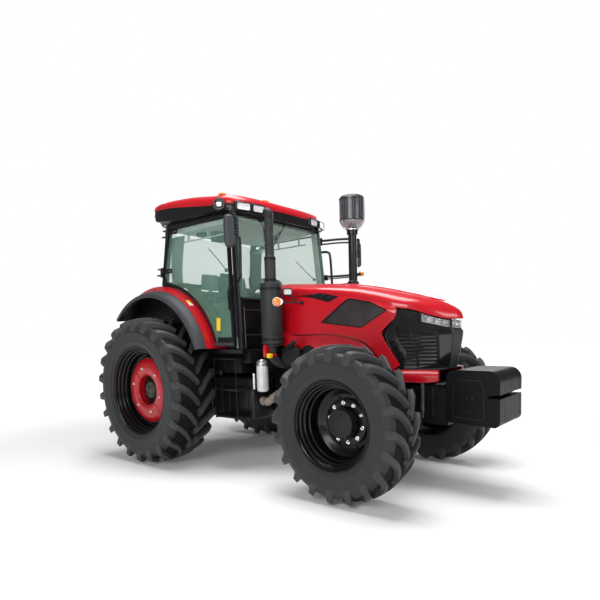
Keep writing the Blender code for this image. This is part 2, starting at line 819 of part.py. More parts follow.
def rear_lift():
    """Lift arms on the rockshaft, lower links and the rods between them: a parallelogram."""
    sx, sz = SHAFT_PIVOT
    lx, lz = LINK_PIVOT
    rx = sx - LIFT_ARM
    for name, side in SIDES:
        hub = rod((sx, side * (HOUSING_HALF + GAP), sz), (sx, side * (ARM_Y + ARM_HALF), sz), 0.050)
        arm = plate(
            arc((sx, sz), 0.045, -80, 80, 4) + arc((rx, sz), 0.032, 95, 265, 5),
            "XZ",
            side * (ARM_Y - ARM_HALF),
            side * (ARM_Y + ARM_HALF),
        )
        node("lift_arm_" + name, fused(hub, arm), BLACK, (sx, 0, sz))
        link = plate(
            arc((lx, lz), 0.045, -60, 60, 4) + arc((lx - LINK_LONG, lz), 0.040, 110, 250, 5),
            "XZ",
            side * (LINK_Y - LINK_HALF),
            side * (LINK_Y + LINK_HALF),
        )
        boss = rod(
            (lx, side * (EAR_OUT + GAP), lz), (lx, side * (LINK_Y + 0.020), lz), 0.030, sides=12
        )
        ball = rod(
            (lx - LINK_LONG, side * (LINK_Y - 0.026), lz),
            (lx - LINK_LONG, side * (LINK_Y + 0.026), lz),
            0.036,
            sides=12,
        )
        node("lower_link_" + name, fused(link, boss, ball), BLACK, (lx, side * LINK_Y, lz))
        bar = rod((rx, side * ROD_Y, lz), (rx, side * ROD_Y, sz), 0.011, sides=12)
        sleeve = rod((rx, side * ROD_Y, lz + 0.12), (rx, side * ROD_Y, sz - 0.14), 0.018, sides=12)
        eyes = [
            rod((rx, side * (ROD_Y - ROD_HALF), z), (rx, side * (ROD_Y + ROD_HALF), z), 0.030)
            for z in (lz, sz)
        ]
        node("lift_rod_" + name, fused(bar, sleeve, *eyes), BLACK, (rx, side * ROD_Y, sz))


def top_link():
    x, z = TOP_LINK
    bar = rod((x, 0, z + 0.060), (x, 0, z + 0.560), 0.020)
    foot = rod((x, -TOP_LINK_HALF, z), (x, TOP_LINK_HALF, z), 0.026)
    neck = box((x - 0.020, -0.018, z), (x + 0.020, 0.018, z + 0.100))
    eye = rod((x, -0.030, z + 0.580), (x, 0.030, z + 0.580), 0.036, sides=12)
    node("top_link", fused(bar, foot, neck, eye), BLACK, (x, 0, z))


HOOD_REAR = 1.445
NOSE_START = 2.400  # from here on the hood moves with the front axle; behind it, it stretches
DRAWN_WHEELBASE = 2.761  # the wheelbase that the tables of the hood are drawn for


def along(x):
    """Place of a table's x, which follows the wheelbase."""
    share = min((x - HOOD_REAR) / (NOSE_START - HOOD_REAR), 1.0)
    return x + share * (WHEELBASE - DRAWN_WHEELBASE)


def hood_rows():
    """Half of the hood's skin from its lower edge to the ridge.

    Each row is one station along the hood. Columns: x, then (half width, height) of the lower
    edge, the side's crease, the shoulder, the round above it, the panel's edge and the ridge,
    and how far the lower edge and the crease are drawn back from x where the nose rounds off.
    """
    rows = (
        # x, edge y z, crease y z, shoulder y z, round y z, panel y z, ridge z, drawn back
        (1.445, 0.454, 1.515, 0.455, 1.800, 0.442, 1.965, 0.412, 2.014, 0.300, 2.050, 2.062, 0.00),
        (1.800, 0.454, 1.500, 0.455, 1.780, 0.442, 1.948, 0.410, 1.992, 0.300, 2.024, 2.034, 0.00),
        (2.230, 0.454, 1.490, 0.455, 1.740, 0.438, 1.900, 0.400, 1.956, 0.290, 1.994, 2.006, 0.00),
        (2.560, 0.450, 1.444, 0.451, 1.700, 0.428, 1.848, 0.386, 1.915, 0.274, 1.961, 1.975, 0.00),
        (2.840, 0.442, 1.548, 0.442, 1.670, 0.420, 1.780, 0.370, 1.855, 0.246, 1.905, 1.920, 0.00),
        (3.019, 0.424, 1.634, 0.420, 1.690, 0.404, 1.724, 0.346, 1.806, 0.220, 1.857, 1.874, 0.04),
        (3.145, 0.366, 1.654, 0.362, 1.674, 0.350, 1.700, 0.300, 1.770, 0.190, 1.820, 1.838, 0.02),
        (3.269, 0.286, 1.626, 0.282, 1.638, 0.272, 1.652, 0.232, 1.724, 0.140, 1.778, 1.796, 0.00),
        (3.387, 0.170, 1.596, 0.166, 1.602, 0.158, 1.612, 0.130, 1.670, 0.075, 1.718, 1.736, 0.00),
        (3.462, 0.070, 1.590, 0.068, 1.594, 0.060, 1.600, 0.048, 1.630, 0.026, 1.656, 1.666, 0.00),
        (3.488, 0.022, 1.588, 0.020, 1.590, 0.018, 1.594, 0.014, 1.602, 0.008, 1.610, 1.613, 0.00),
    )
    made = []
    for x, ey, ez, cy, cz, sy, sz, oy, oz, py, pz, rz, back in rows:
        pairs = ((ey, ez), (cy, cz), (sy, sz), (oy, oz), (py, pz), (0.0, rz))
        drawn = (back, back * 0.6, 0.0, 0.0, 0.0, 0.0)
        made.append([(along(x - b), y, z) for (y, z), b in zip(pairs, drawn)])
    return made


# Side window of the hood, an outline in x and z
HOOD_WINDOW = [
    (along(x), z)
    for x, z in ((2.165, 1.606), (2.490, 1.826), (2.758, 1.788), (2.925, 1.700), (2.655, 1.546))
]
# Cheek from the window's front corner down beside the mask. Columns of the first table: x, z;
# of the second: x, z above the mask's foot.
CHEEK_UPPER = (
    (2.600, 1.452), (2.600, 1.500), (2.940, 1.672), (2.990, 1.620), (2.884, 1.512), (2.880, 1.470)
)
CHEEK_LOWER = (
    (3.013, 0.121), (3.058, 0.060), (2.985, 0.004), (2.880, 0.089), (2.780, 0.194)
)
CHEEK = [(along(x), z) for x, z in CHEEK_UPPER]
CHEEK += [(along(2.909), 1.412)]
CHEEK += [(along(x), MASK_FOOT + z) for x, z in CHEEK_LOWER]
CHEEK += [(along(2.700), 1.398)]
CHEEK_IN = 0.424  # inner face of the cheek
CHEEK_OUT = 0.4375  # outer face of the cheek
PANEL_UNDER = 0.026  # how far the raised middle panel reaches down into the hood's skin


def inset(outline, gap):
    """The outline drawn in by gap on every side; it runs clockwise or not."""
    area = sum(
        a[0] * b[1] - b[0] * a[1] for a, b in zip(outline, outline[1:] + outline[:1])
    )
    turn = 1 if area > 0 else -1
    made = []
    for i, (x, y) in enumerate(outline):
        before = Vector(outline[i]) - Vector(outline[i - 1])
        after = Vector(outline[(i + 1) % len(outline)]) - Vector(outline[i])
        one = Vector((-before.y, before.x)).normalized() * turn
        two = Vector((-after.y, after.x)).normalized() * turn
        out = (one + two).normalized()
        out *= gap / max(out.dot(one), 0.2)
        made.append((x + out.x, y + out.y))
    return made


def hood():
    shell = skin(hood_rows(), HOOD_WALL)
    windows = [plate(HOOD_WINDOW, "XZ", side * 0.36, side * 0.52) for side in (-1, 1)]
    x, z = HOOD_HINGE
    ears = [
        box(
            (x - 0.025, min(side * HOOD_EAR, side * (HOOD_EAR + 0.016)), z - 0.025),
            (x + 0.055, max(side * HOOD_EAR, side * (HOOD_EAR + 0.016)), z + 0.096),
        )
        for side in (-1, 1)
    ]
    cheeks = [plate(CHEEK, "XZ", side * CHEEK_IN, side * CHEEK_OUT) for side in (-1, 1)]
    # Raised middle panel: x, half width, height of its edge, height of the middle
    panel = (
        (1.560, 0.296, 2.049, 2.062),
        (2.230, 0.288, 2.003, 2.014),
        (2.560, 0.272, 1.970, 1.983),
        (2.840, 0.244, 1.914, 1.928),
        (3.019, 0.216, 1.867, 1.882),
        (3.145, 0.180, 1.832, 1.846),
        (3.269, 0.090, 1.794, 1.804),
    )
    rings = []
    for px, half, edge, ridge in panel:
        over = [(-1.0, edge - 0.014), (-0.96, edge), (-0.5, 0.35 * edge + 0.65 * ridge), (0.0, ridge)]
        line = over + [(-v, level) for v, level in reversed(over[:-1])]
        rings.append(
            [(along(px), v * half, level) for v, level in line]
            + [(along(px), v * half, ridge - PANEL_UNDER) for v in (0.9, -0.9)]
        )
    raised = loft(rings)
    node("hood", fused(cut(shell, *windows), *ears, *cheeks, raised), RED, (x, 0, z))


def hood_meshes():
    """Grilles seated in the hood's side windows."""
    x, z = HOOD_HINGE
    fitted = inset(HOOD_WINDOW, GAP)
    for name, side in SIDES:
        rings = [
            [(px, side * (0.4505 - drop - 0.018 * (px - 2.130)), pz) for px, pz in fitted]
            for drop in (0.0, 0.016)
        ]
        node("hood_grille_" + name, loft(rings), PLASTIC, (x, 0, z))


MASK_BOW = 0.030  # how far the mask's sides stand out half way along
LOUVRES = 6
STAY_Y = (0.180, 0.210)  # the mask's stays inside the hood


def nose_mask():
    """Black mask under the hood's lip: a wedge-shaped front with swept sides."""
    x, z = HOOD_HINGE
    # share of the height, half width at the back, back x, half width of the front, front x, tip x
    levels = (
        (0.000, 0.372, 3.085, 0.080, 3.390, 3.428),
        (0.230, 0.384, 3.026, 0.088, 3.408, 3.446),
        (0.480, 0.398, 2.950, 0.098, 3.428, 3.466),
        (0.830, 0.405, 2.905, 0.116, 3.444, 3.484),
        (1.000, 0.396, 2.940, 0.110, 3.410, 3.450),
    )

    def mask_level(share):
        """Row of the table at a share of the mask's height."""
        low, high = next(
            (a, b) for a, b in zip(levels, levels[1:]) if a[0] <= share <= b[0]
        )
        mix = (share - low[0]) / (high[0] - low[0])
        return [p + (q - p) * mix for p, q in zip(low, high)]

    foot, top = MASK_FOOT, MASK_TOP - GAP
    rings = []
    for share, half, back, tip, front, nose in levels:
        level = foot + share * (top - foot)
        bow = (along(back) + along(front)) / 2, (half + tip) / 2 + MASK_BOW
        rings.append(
            [(along(back), -half, level), (bow[0], -bow[1], level), (along(front), -tip, level)]
            + [(along(nose), 0.0, level), (along(front), tip, level)]
            + [(bow[0], bow[1], level), (along(back), half, level)]
        )
    louvres = []
    for name, side in SIDES:
        for i in range(LOUVRES):
            share = 0.14 + 0.125 * i
            _, half, back, tip, front, _ = mask_level(share)
            level = foot + share * (top - foot)
            start = Vector((along(back), half))
            middle = Vector(((along(back) + along(front)) / 2, (half + tip) / 2 + MASK_BOW))
            out = Vector((middle.y - start.y, start.x - middle.x)).normalized() * -1
            near, far = start.lerp(middle, 0.14), start.lerp(middle, 0.96)
            # How far each corner of the louvre stands out of the mask, and its height
            section = ((-0.006, -0.013), (0.009, -0.010), (0.009, -0.003), (-0.006, 0.010))
            louvres.append(
                loft(
                    [
                        [
                            (spot.x + out.x * d, side * (spot.y + out.y * d), level + h)
                            for d, h in section
                        ]
                        for spot in (near, far)
                    ]
                )
            )
    shell = skin(hood_rows(), HOOD_WALL)
    mesh = shell.data
    tree = BVHTree.FromPolygons([v.co for v in mesh.vertices], [f.vertices for f in mesh.polygons])
    stays = []
    back_x = along(3.060)
    for side in (-1, 1):
        corners = [(px, side * py) for px in (back_x, back_x + 0.040) for py in STAY_Y]
        roof_z = [tree.ray_cast(Vector((*spot, 1.500)), Vector((0, 0, 1)))[0].z for spot in corners]
        near_y, far_y = sorted(side * py for py in STAY_Y)
        low = (back_x, near_y, MASK_TOP - 0.050)
        high = (back_x + 0.040, far_y, min(roof_z) - GAP)
        stays.append(box(low, high))
    bpy.data.objects.remove(shell, do_unlink=True)
    node("nose_mask", fused(loft(rings), *louvres, *stays), GLOSS, (x, 0, z))


def headlight_band():
    """Lamp strip that wraps the nose between the mask and the hood's lip."""
    x, z = HOOD_HINGE
    # point along the strip: x, half width, upper height
    stations = (
        (2.990, 0.388, 1.684),
        (3.140, 0.330, 1.664),
        (3.262, 0.252, 1.622),
        (3.372, 0.146, 1.590),
        (3.440, 0.056, 1.578),
    )
    low, deep = MASK_TOP, 0.050
    ring_rows = [(-1, *row) for row in stations] + [(1, *row) for row in reversed(stations)]
    rings = [
        [
            (along(px), side * half, low),
            (along(px), side * half, high),
            (along(px) - deep, side * max(half - 0.060, 0.010), high),
            (along(px) - deep, side * max(half - 0.060, 0.010), low),
        ]
        for side, px, half, high in ring_rows
    ]
    node("headlight_band", loft(rings), LAMP, (x, 0, z))


def lower_panels():
    """Red side panels under the hood and the strip that sweeps forward under the mask."""
    foot = MASK_FOOT
    low_side = [(1.620, 1.484), (1.640, 1.340), (2.440, 1.330), (2.700, 1.250), (2.860, foot + 0.010)]
    low_side += [(3.000, foot - 0.096), (3.030, foot - 0.010), (2.970, foot - 0.010), (2.865, foot + 0.075)]
    low_side += [(2.770, foot + 0.175), (2.680, 1.380), (2.560, 1.430), (2.212, 1.478)]
    # strip under the mask: x, half width, bottom and top above the mask's foot
    strip_rows = (
        (2.970, 0.443, -0.055, -0.010),
        (3.080, 0.400, -0.103, -0.016),
        (3.250, 0.338, -0.106, -0.016),
        (3.400, 0.280, -0.092, -0.016),
    )
    for name, side in SIDES:
        panel = plate([(along(px), pz) for px, pz in low_side], "XZ", side * 0.425, side * 0.441)
        strip = loft(
            [
                [
                    (along(px), side * y, foot + low),
                    (along(px), side * (y - 0.03), foot + low),
                    (along(px), side * (y - 0.03), foot + high),
                    (along(px), side * y, foot + high),
                ]
                for px, y, low, high in strip_rows
            ]
        )
        stay_x, stay_z = FRAME_REAR + 0.080, FRAME_TOP - 0.080
        stay = box(
            (stay_x, min(side * 0.240, side * 0.430), stay_z),
            (stay_x + 0.060, max(side * 0.240, side * 0.430), stay_z + 0.030),
        )
        post = box(
            (stay_x, side * 0.430 - 0.012, stay_z),
            (stay_x + 0.060, side * 0.430 + 0.012, 1.360),
        )
        frame_side = FRAME_HALF + GAP
        clear = box(
            (stay_x - 0.080, -frame_side, stay_z - 0.030),
            (stay_x + 0.120, frame_side, stay_z + 0.070),
        )
        holder = cut(fused(post, stay), clear)
        node("side_panel_" + name, fused(panel, strip, holder), RED)


def fender(name, side):
    """Wheel arch: inner wall, red top and black lip, lofted round the wheel."""
    rings = []
    count = 13
    for i in range(count):
        share = i / (count - 1)
        outer = []
        for line in (FENDER_TOP, FENDER_TOP, FENDER_STEP, FENDER_LIP):
            y, cx, cz, radius = line
            start = math.asin((FENDER_FRONT_Z - cz) / radius)
            end = math.pi - math.asin((FENDER_REAR_Z - cz) / radius)
            turn = start + (end - start) * share
            outer.append((y, cx + radius * math.cos(turn), cz + radius * math.sin(turn), turn))
        inner_y = CAB_INNER_HALF + GAP
        first = (inner_y, *outer[0][1:])
        points = [first, *outer[1:]]
        ring = [(px, side * y, pz) for y, px, pz, _ in points]
        wall = FENDER_WALL
        under = [
            (px - wall * math.cos(turn), side * y, pz - wall * math.sin(turn))
            for y, px, pz, turn in reversed(points)
        ]
        rings.append(ring + under)
    body = loft(rings)
    node("fender_" + name, body, RED)


def cab_floor():
    """Platform, rear wall and side walls between the wheels, open to the cab above."""
    inner = CAB_INNER_HALF
    floor = box((CAB_REAR + 0.004, 0.010 - inner, 1.300), (CAB_FRONT_SILL, inner - 0.010, 1.350))
    landing = [
        box(
            (0.985, min(side * 0.500, side * CAB_HALF_SILL), 1.304),
            (CAB_FRONT_SILL - 0.004, max(side * 0.500, side * CAB_HALF_SILL), 1.346),
        )
        for side in (-1, 1)
    ]
    walls = [
        plate(
            [(CAB_REAR + 0.002, 1.290), (0.960, 1.290)]
            + arc(FENDER_TOP[1:3], FENDER_TOP[3] - 0.006, 19, 91, 8)
            + [(CAB_REAR + 0.002, 2.092)],
            "XZ",
            side * (inner - 0.030),
            side * inner,
        )
        for side in (-1, 1)
    ]
    back = box((CAB_REAR, 0.006 - inner, 1.296), (CAB_REAR + 0.035, inner - 0.006, 2.050))
    feet = [
        box((-0.010, side * 0.200 - 0.050, 1.2403), (0.110, side * 0.200 + 0.050, 1.320))
        for side in (-1, 1)
    ]
    legs = [
        box((1.150, side * 0.200 - 0.050, 1.0603), (1.250, side * 0.200 + 0.050, 1.320))
        for side in (-1, 1)
    ]
    node("cab_floor", fused(floor, *landing, *walls, back, *feet, *legs), PLASTIC)


def side_y(z):
    """Half width of the cab's side plane at a height."""
    share = (z - SILL_Z) / (CAB_TOP_Z - SILL_Z)
    return CAB_HALF_SILL + (CAB_HALF_TOP - CAB_HALF_SILL) * share


def front_x(z):
    share = (z - SILL_Z) / (CAB_TOP_Z - SILL_Z)
    return CAB_FRONT_SILL + (CAB_FRONT_TOP - CAB_FRONT_SILL) * share


def bar(start, end, width, depth):
    """A square bar between two points, width across X and depth across Y, cut level."""
    rings = []
    for x, y, z in (start, end):
        rings.append(
            [
                (x - width / 2, y - depth / 2, z),
                (x + width / 2, y - depth / 2, z),
                (x + width / 2, y + depth / 2, z),
                (x - width / 2, y + depth / 2, z),
            ]
        )
    return loft(rings)


DOOR_HINGE = ((0.031, FENDER_CREST + 0.169), (0.142, 2.731))
DOOR_AXIS_OUT = 0.052  # hinge axis outside the cab's side plane


def door_hinges(side):
    """Middle of each hinge and the axis direction, lower hinge first."""
    spots = [
        Vector((x, side * (side_y(z) + DOOR_AXIS_OUT), z)) for x, z in DOOR_HINGE
    ]
    along = (spots[1] - spots[0]).normalized()
    return [(spot, along) for spot in spots]


def cab_frame():
    """Four posts, the ring under the roof and the sills, in one welded frame."""
    half = PILLAR / 2
    low, high = 1.350 + GAP, ROOF_SKIRT_Z - GAP
    pieces = []
    for side in (-1, 1):
        pieces.append(
            bar(
                (front_x(low) - half, side * (side_y(low) - half), low),
                (front_x(high) - half, side * (side_y(high) - half), high),
                PILLAR,
                PILLAR,
            )
        )
        foot = FENDER_CREST + 0.016
        pieces.append(
            bar(
                (CAB_REAR + 0.050, side * (side_y(foot) - half), foot),
                (CAB_REAR + 0.150, side * (side_y(high) - half), high),
                PILLAR,
                PILLAR,
            )
        )
        pieces.append(
            box(
                (CAB_REAR + 0.118, side * (CAB_HALF_TOP - 0.030) - 0.028, high - 0.055),
                (CAB_FRONT_TOP - 0.030, side * (CAB_HALF_TOP - 0.030) + 0.028, high),
            )
        )
    pieces.append(
        box((CAB_REAR + 0.123, -0.710, high - 0.055), (CAB_REAR + 0.173, 0.710, high))
    )
    pieces.append(
        box((CAB_FRONT_TOP - 0.058, -0.710, high - 0.055), (CAB_FRONT_TOP - 0.004, 0.710, high))
    )
    pieces.append(
        box((CAB_REAR + 0.025, -0.770, FENDER_CREST + GAP), (CAB_REAR + 0.080, 0.770, FENDER_CREST + 0.058))
    )
    for name, side in SIDES:
        for centre, along in door_hinges(side):
            pieces.append(rod(centre - along * 0.052, centre - along * (0.022 + GAP), 0.013, sides=10))
            foot = centre - along * 0.038
            wall_y = side * (side_y(foot.z) - 0.030)
            pieces.append(
                box(
                    (foot.x - 0.060, min(foot.y, wall_y), foot.z - 0.010),
                    (foot.x - 0.004, max(foot.y, wall_y), foot.z + 0.008),
                )
            )
    node("cab_frame", fused(*pieces), BLACK)


def firewall():
    """Front wall of the cab below the windscreen."""
    low, high = 1.350 + GAP, 1.900
    wide, narrow = (side_y(z) - PILLAR - GAP for z in (low, high))
    wall = plate(
        [(-wide, low), (wide, low), (narrow, high), (-narrow, high)],
        "YZ",
        CAB_FRONT_SILL - 0.080,
        CAB_FRONT_SILL - 0.044,
    )
    node("firewall", wall, BLACK)


WINDSHIELD_BOW = 0.030  # how far the glass stands forward in the middle


def windshield():
    rings = []
    for z in (1.906, 2.770):
        x = front_x(z) + GLASS + GAP
        y = side_y(z) - 0.020
        # y, how far forward
        line = (
            (-y, 0.0),
            (-y / 2, 0.75 * WINDSHIELD_BOW),
            (0.0, WINDSHIELD_BOW),
            (y / 2, 0.75 * WINDSHIELD_BOW),
            (y, 0.0),
        )
        outer = [(x + out, across, z) for across, out in line]
        rings.append(outer + [(px - GLASS, py, pz) for px, py, pz in reversed(outer)])
    node("windshield", loft(rings), TINT)


REAR_HINGE_R = 0.012
REAR_WINDOW_HINGE = (0.060, ROOF_SKIRT_Z - GAP - 0.055 - GAP - REAR_HINGE_R)


def rear_window():
    x, z = REAR_WINDOW_HINGE
    rings = []
    for level, px in ((FENDER_CREST + 0.071, CAB_REAR - 0.010), (2.752, CAB_REAR + 0.082)):
        y = side_y(level) - 0.030
        rings.append(
            [(px, -y, level), (px + GLASS, -y, level), (px + GLASS, y, level), (px, y, level)]
        )
    glass = loft(rings)
    hinges = []
    for y in (-0.45, 0.45):
        hinges.append(rod((x, y - 0.025, z), (x, y + 0.025, z), REAR_HINGE_R, sides=12))
        hinges.append(box((0.008, y - 0.022, z - 0.030), (x, y + 0.022, z - 0.004)))
    node("rear_window", fused(glass, *hinges), TINT, (x, 0, z))


DOOR_GAP = 0.030  # between the door's lower rear edge and the fender


def door_outline(inset):
    """The door in x and z, drawn in by inset: the fender's arc, sill, front edge, top, rear edge."""
    _, cx, cz, radius = FENDER_TOP
    reach = radius + DOOR_GAP + inset
    lift = math.degrees(math.asin((SILL_Z + inset - cz) / reach))
    points = arc((cx, cz), reach, 82, lift, 8)
    front_low = front_x(SILL_Z) - PILLAR - 0.010 - inset
    front_high = front_x(2.780) - PILLAR - 0.010 - inset
    points += [(front_low, SILL_Z + inset), (front_high, 2.775 - inset)]
    points += [(0.250 + inset, 2.775 - inset), (0.145 + inset, 2.720 - inset)]
    points += [(0.035 + inset, FENDER_CREST + 0.116)]
    return points


def door(name, side):
    tilt = math.atan((CAB_HALF_SILL - CAB_HALF_TOP) / (CAB_TOP_Z - SILL_Z))
    lean = (
        Matrix.Translation((0, side * CAB_HALF_SILL, SILL_Z))
        @ Matrix.Rotation(side * tilt, 4, "X")
        @ Matrix.Translation((0, 0, -SILL_Z))
    )
    wall = DOOR_WALL
    frame = plate(door_outline(0.0), "XZ", side * 0.004, side * (0.004 + wall), [door_outline(0.045)])
    band = box(
        (FENDER_TOP[1] + FENDER_TOP[3], min(side * 0.008, side * 0.028), SILL_Z + 0.020),
        (1.280, max(side * 0.008, side * 0.028), SILL_Z + 0.100),
    )
    glass = plate(door_outline(0.030), "XZ", side * 0.012, side * 0.020)
    handle = pipe(
        [
            (1.235, side * 0.030, 1.800),
            (1.235, side * 0.062, 1.815),
            (1.235, side * 0.062, 1.985),
            (1.235, side * 0.030, 2.000),
        ],
        0.011,
    )
    plate_at_handle = box(
        (1.203, min(side * 0.008, side * 0.040), 1.770),
        (1.273, max(side * 0.008, side * 0.040), 2.030),
    )
    body = moved(fused(frame, glass, band, plate_at_handle, handle), lean)
    knuckles = []
    for centre, along in door_hinges(side):
        knuckles.append(rod(centre - along * 0.022, centre + along * 0.022, 0.013, sides=10))
        inner = side * (side_y(centre.z) + 0.016)
        knuckles.append(
            box(
                (centre.x, min(centre.y, inner), centre.z - 0.012),
                (centre.x + 0.110, max(centre.y, inner), centre.z + 0.012),
            )
        )
    pivot = door_hinges(side)[0][0]
    node("door_" + name, fused(body, *knuckles), TINT, pivot)


def roof():
    """Black skirt with its lamps and the red shell above it."""
    # Half of the roof's plan from the middle of the front to the middle of the rear
    plan = [(1.376, 0.0), (1.370, 0.30), (1.346, 0.52), (1.292, 0.70), (1.215, 0.785), (1.100, 0.820)]
    plan += [(0.000, 0.820), (-0.100, 0.790), (-0.160, 0.700), (-0.182, 0.500), (-0.184, 0.0)]
    mid_x, mid_y = 0.596, 0.0

    def level(z, draw_in, fall=0.0):
        """One ring of the plan drawn in; fall lowers its front end."""
        ring = []
        whole = plan + [(px, -py) for px, py in reversed(plan[1:-1])]
        for px, py in whole:
            kx = (abs(px - mid_x) - draw_in) / abs(px - mid_x)
            ky = (abs(py) - draw_in) / abs(py) if py else 1.0
            front = min(max((px - 0.800) / 0.570, 0.0), 1.0)
            ring.append((mid_x + (px - mid_x) * kx, py * ky, z - fall * front))
        return ring

    skirt = loft(
        [
            level(ROOF_SKIRT_Z, 0.060),
            level(ROOF_SKIRT_Z + 0.024, 0.006),
            level(ROOF_JOIN_Z, 0.000),
        ]
    )
    lamps = []
    for side in (-1, 1):
        # x and y of the lamp's middle, how far it turns outward, half width
        for px, py, turn, half in ((1.345, 0.450, 8, 0.078), (1.300, 0.640, 24, 0.074)):
            lamp = box((-0.060, -half, -0.030), (0.036, half, 0.026), 0.008)
            turned_out = Matrix.Rotation(math.radians(side * turn), 4, "Z")
            lamps.append(moved(lamp, Matrix.Translation((px, side * py, 2.872)) @ turned_out))
        # Round lamp pod on the front corner
        profile = [(0.0, -0.060), (POD_R, -0.060), (POD_R, 0.052), (0.0, 0.052)]
        pod = turned(profile, (0, 0, 0), (1, 0, 0), 16)
        corner = Matrix.Rotation(math.radians(side * 41), 4, "Z")
        lamps.append(moved(pod, Matrix.Translation((1.195, side * 0.768, ROOF_JOIN_Z)) @ corner))
    clear = box((1.0, -0.9, ROOF_JOIN_Z), (1.6, 0.9, 3.0))
    node("roof_skirt", cut(fused(skirt, *lamps), clear), BLACK)
    join = ROOF_JOIN_Z + GAP
    shell = loft(
        [
            level(join, 0.004),
            level(join + 0.060, 0.000, 0.020),
            level(join + 0.120, 0.035, 0.060),
            level(join + 0.170, 0.100, 0.090),
            level(join + 0.196, 0.230, 0.100),
        ]
    )
    node("roof_shell", shell, RED)


def seat():
    base = rod((0.560, 0, 1.350 + GAP), (0.560, 0, 1.600), 0.130, 0.100)
    pan = box((0.320, -0.250, 1.590), (0.830, 0.250, 1.720), 0.030)
    back = loft(
        [
            [(x, -w, z), (x + d, -w, z), (x + d, w, z), (x, w, z)]
            # back face x, half width, thickness, height
            for x, w, d, z in (
                (0.300, 0.240, 0.14, 1.660),
                (0.250, 0.250, 0.12, 2.000),
                (0.210, 0.170, 0.10, 2.300),
            )
        ]
    )
    node("seat", fused(base, pan, back), SEAT)


WHEEL_HUB = (0.985, 2.030)
COLUMN_LEAN = math.radians(35)


def steering_wheel():
    x, z = WHEEL_HUB
    axis = Vector((-math.sin(COLUMN_LEAN), 0, math.cos(COLUMN_LEAN)))
    ring = turned(
        arc((0.200, 0.0), 0.016, 0, 288, 5),
        (x, 0, z),
        axis,
        18,
        ring=True,
    )
    hub = rod(
        Vector((x, 0, z)) - axis * (0.046 - GAP), Vector((x, 0, z)) + axis * 0.012, 0.045, sides=12
    )
    spokes = box((-0.012, -0.196, -0.010), (0.012, 0.196, 0.006))
    spoke_two = box((-0.196, -0.012, -0.010), (0.0, 0.012, 0.006))
    turn = Vector((0, 0, 1)).rotation_difference(axis).to_matrix().to_4x4()
    place = Matrix.Translation((x, 0, z)) @ turn
    wheel = fused(ring, hub, moved(spokes, place), moved(spoke_two, place))
    node("steering_wheel", wheel, PLASTIC, (x, 0, z))
    dash = loft(
        [
            [(px, -w, pz), (px + d, -w, pz), (px + d, w, pz), (px, w, pz)]
            # rear face x, half width, depth, height
            for px, w, d, pz in (
                (1.120, 0.120, 0.130, 1.350 + GAP),
                (1.100, 0.130, 0.160, 1.800),
                (1.080, 0.220, 0.190, 1.980),
            )
        ]
    )
    start = Vector((x, 0, z)) - axis * 0.046
    column = rod(start, start - axis * 0.240, 0.038, 0.050, sides=12)
    node("dashboard", fused(dash, column), PLASTIC)


def side_tanks():
    """Tank and steps on each side below the cab."""
    for name, side in SIDES:
        body = box(
            (0.640, min(side * 0.305, side * 0.660), 0.560),
            (1.380, max(side * 0.305, side * 0.660), 1.030),
            0.040,
        )
        stay = box(
            (0.850, min(side * 0.2478, side * 0.330), 0.700),
            (1.100, max(side * 0.2478, side * 0.330), 0.900),
        )
        steps = [
            box(
                (0.970, min(side * 0.640, side * 0.860), z),
                (1.330, max(side * 0.640, side * 0.860), z + 0.025),
            )
            for z in (0.600, 0.900)
        ]
        node("tank_" + name, fused(body, stay, *steps), BLACK)


def filter_canister():
    x, y = 1.485, -0.620
    body = turned(
        [(0.0, 1.235), (0.060, 1.235), (0.082, 1.210), (0.082, 0.920), (0.060, 0.885), (0.0, 0.885)],
        (x, y, 0),
        (0, 0, 1),
        20,
    )
    arm = box((1.440, -0.600, 1.090), (1.530, -0.3003, 1.150))
    node("filter_canister", fused(body, arm), FILTER)


MUFFLER = (1.650, -0.620)
INTAKE = (1.890, 0.560)


def muffler():
    x, y = MUFFLER
    can = turned(
        [
            (0.0, 2.790),
            (0.058, 2.786),
            (0.070, 2.760),
            (0.070, 2.320),
            (0.078, 2.318),
            (0.078, 2.080),
            (0.150, 2.050),
            (0.150, 1.400),
            (0.110, 1.370),
            (0.0, 1.370),
        ],
        (x, y, 0),
        (0, 0, 1),
        18,
    )
    foot = pipe(
        [
            (x, y, 1.400),
            (x, y, 1.250),
            (x + 0.040, y + 0.120, 1.180),
            (x + 0.040, -0.360, 1.180),
            (x + 0.040, -0.270 - GAP, 1.180),
        ],
        0.060,
    )
    node("muffler", fused(can, foot), PLASTIC)


def air_intake():
    x, y = INTAKE
    stack = turned(
        [
            (0.0, 3.105),
            (0.165, 3.098),
            (0.180, 3.070),
            (0.180, 2.850),
            (0.165, 2.840),
            (0.120, 2.800),
            (0.066, 2.780),
            (0.0625, 2.600),
            (0.0625, 2.100),
            (0.080, 2.090),
            (0.080, 1.900),
            (0.0625, 1.890),
            (0.0625, 1.640),
            (0.0, 1.640),
        ],
        (x, y, 0),
        (0, 0, 1),
        18,
    )
    foot = pipe(
        [
            (x, y, 1.700),
            (x, y, 1.290),
            (x, y - 0.080, 1.210),
            (x, 0.360, 1.210),
            (x, 0.270 + GAP, 1.210),
        ],
        0.060,
    )
    node("air_intake", fused(stack, foot), PLASTIC)


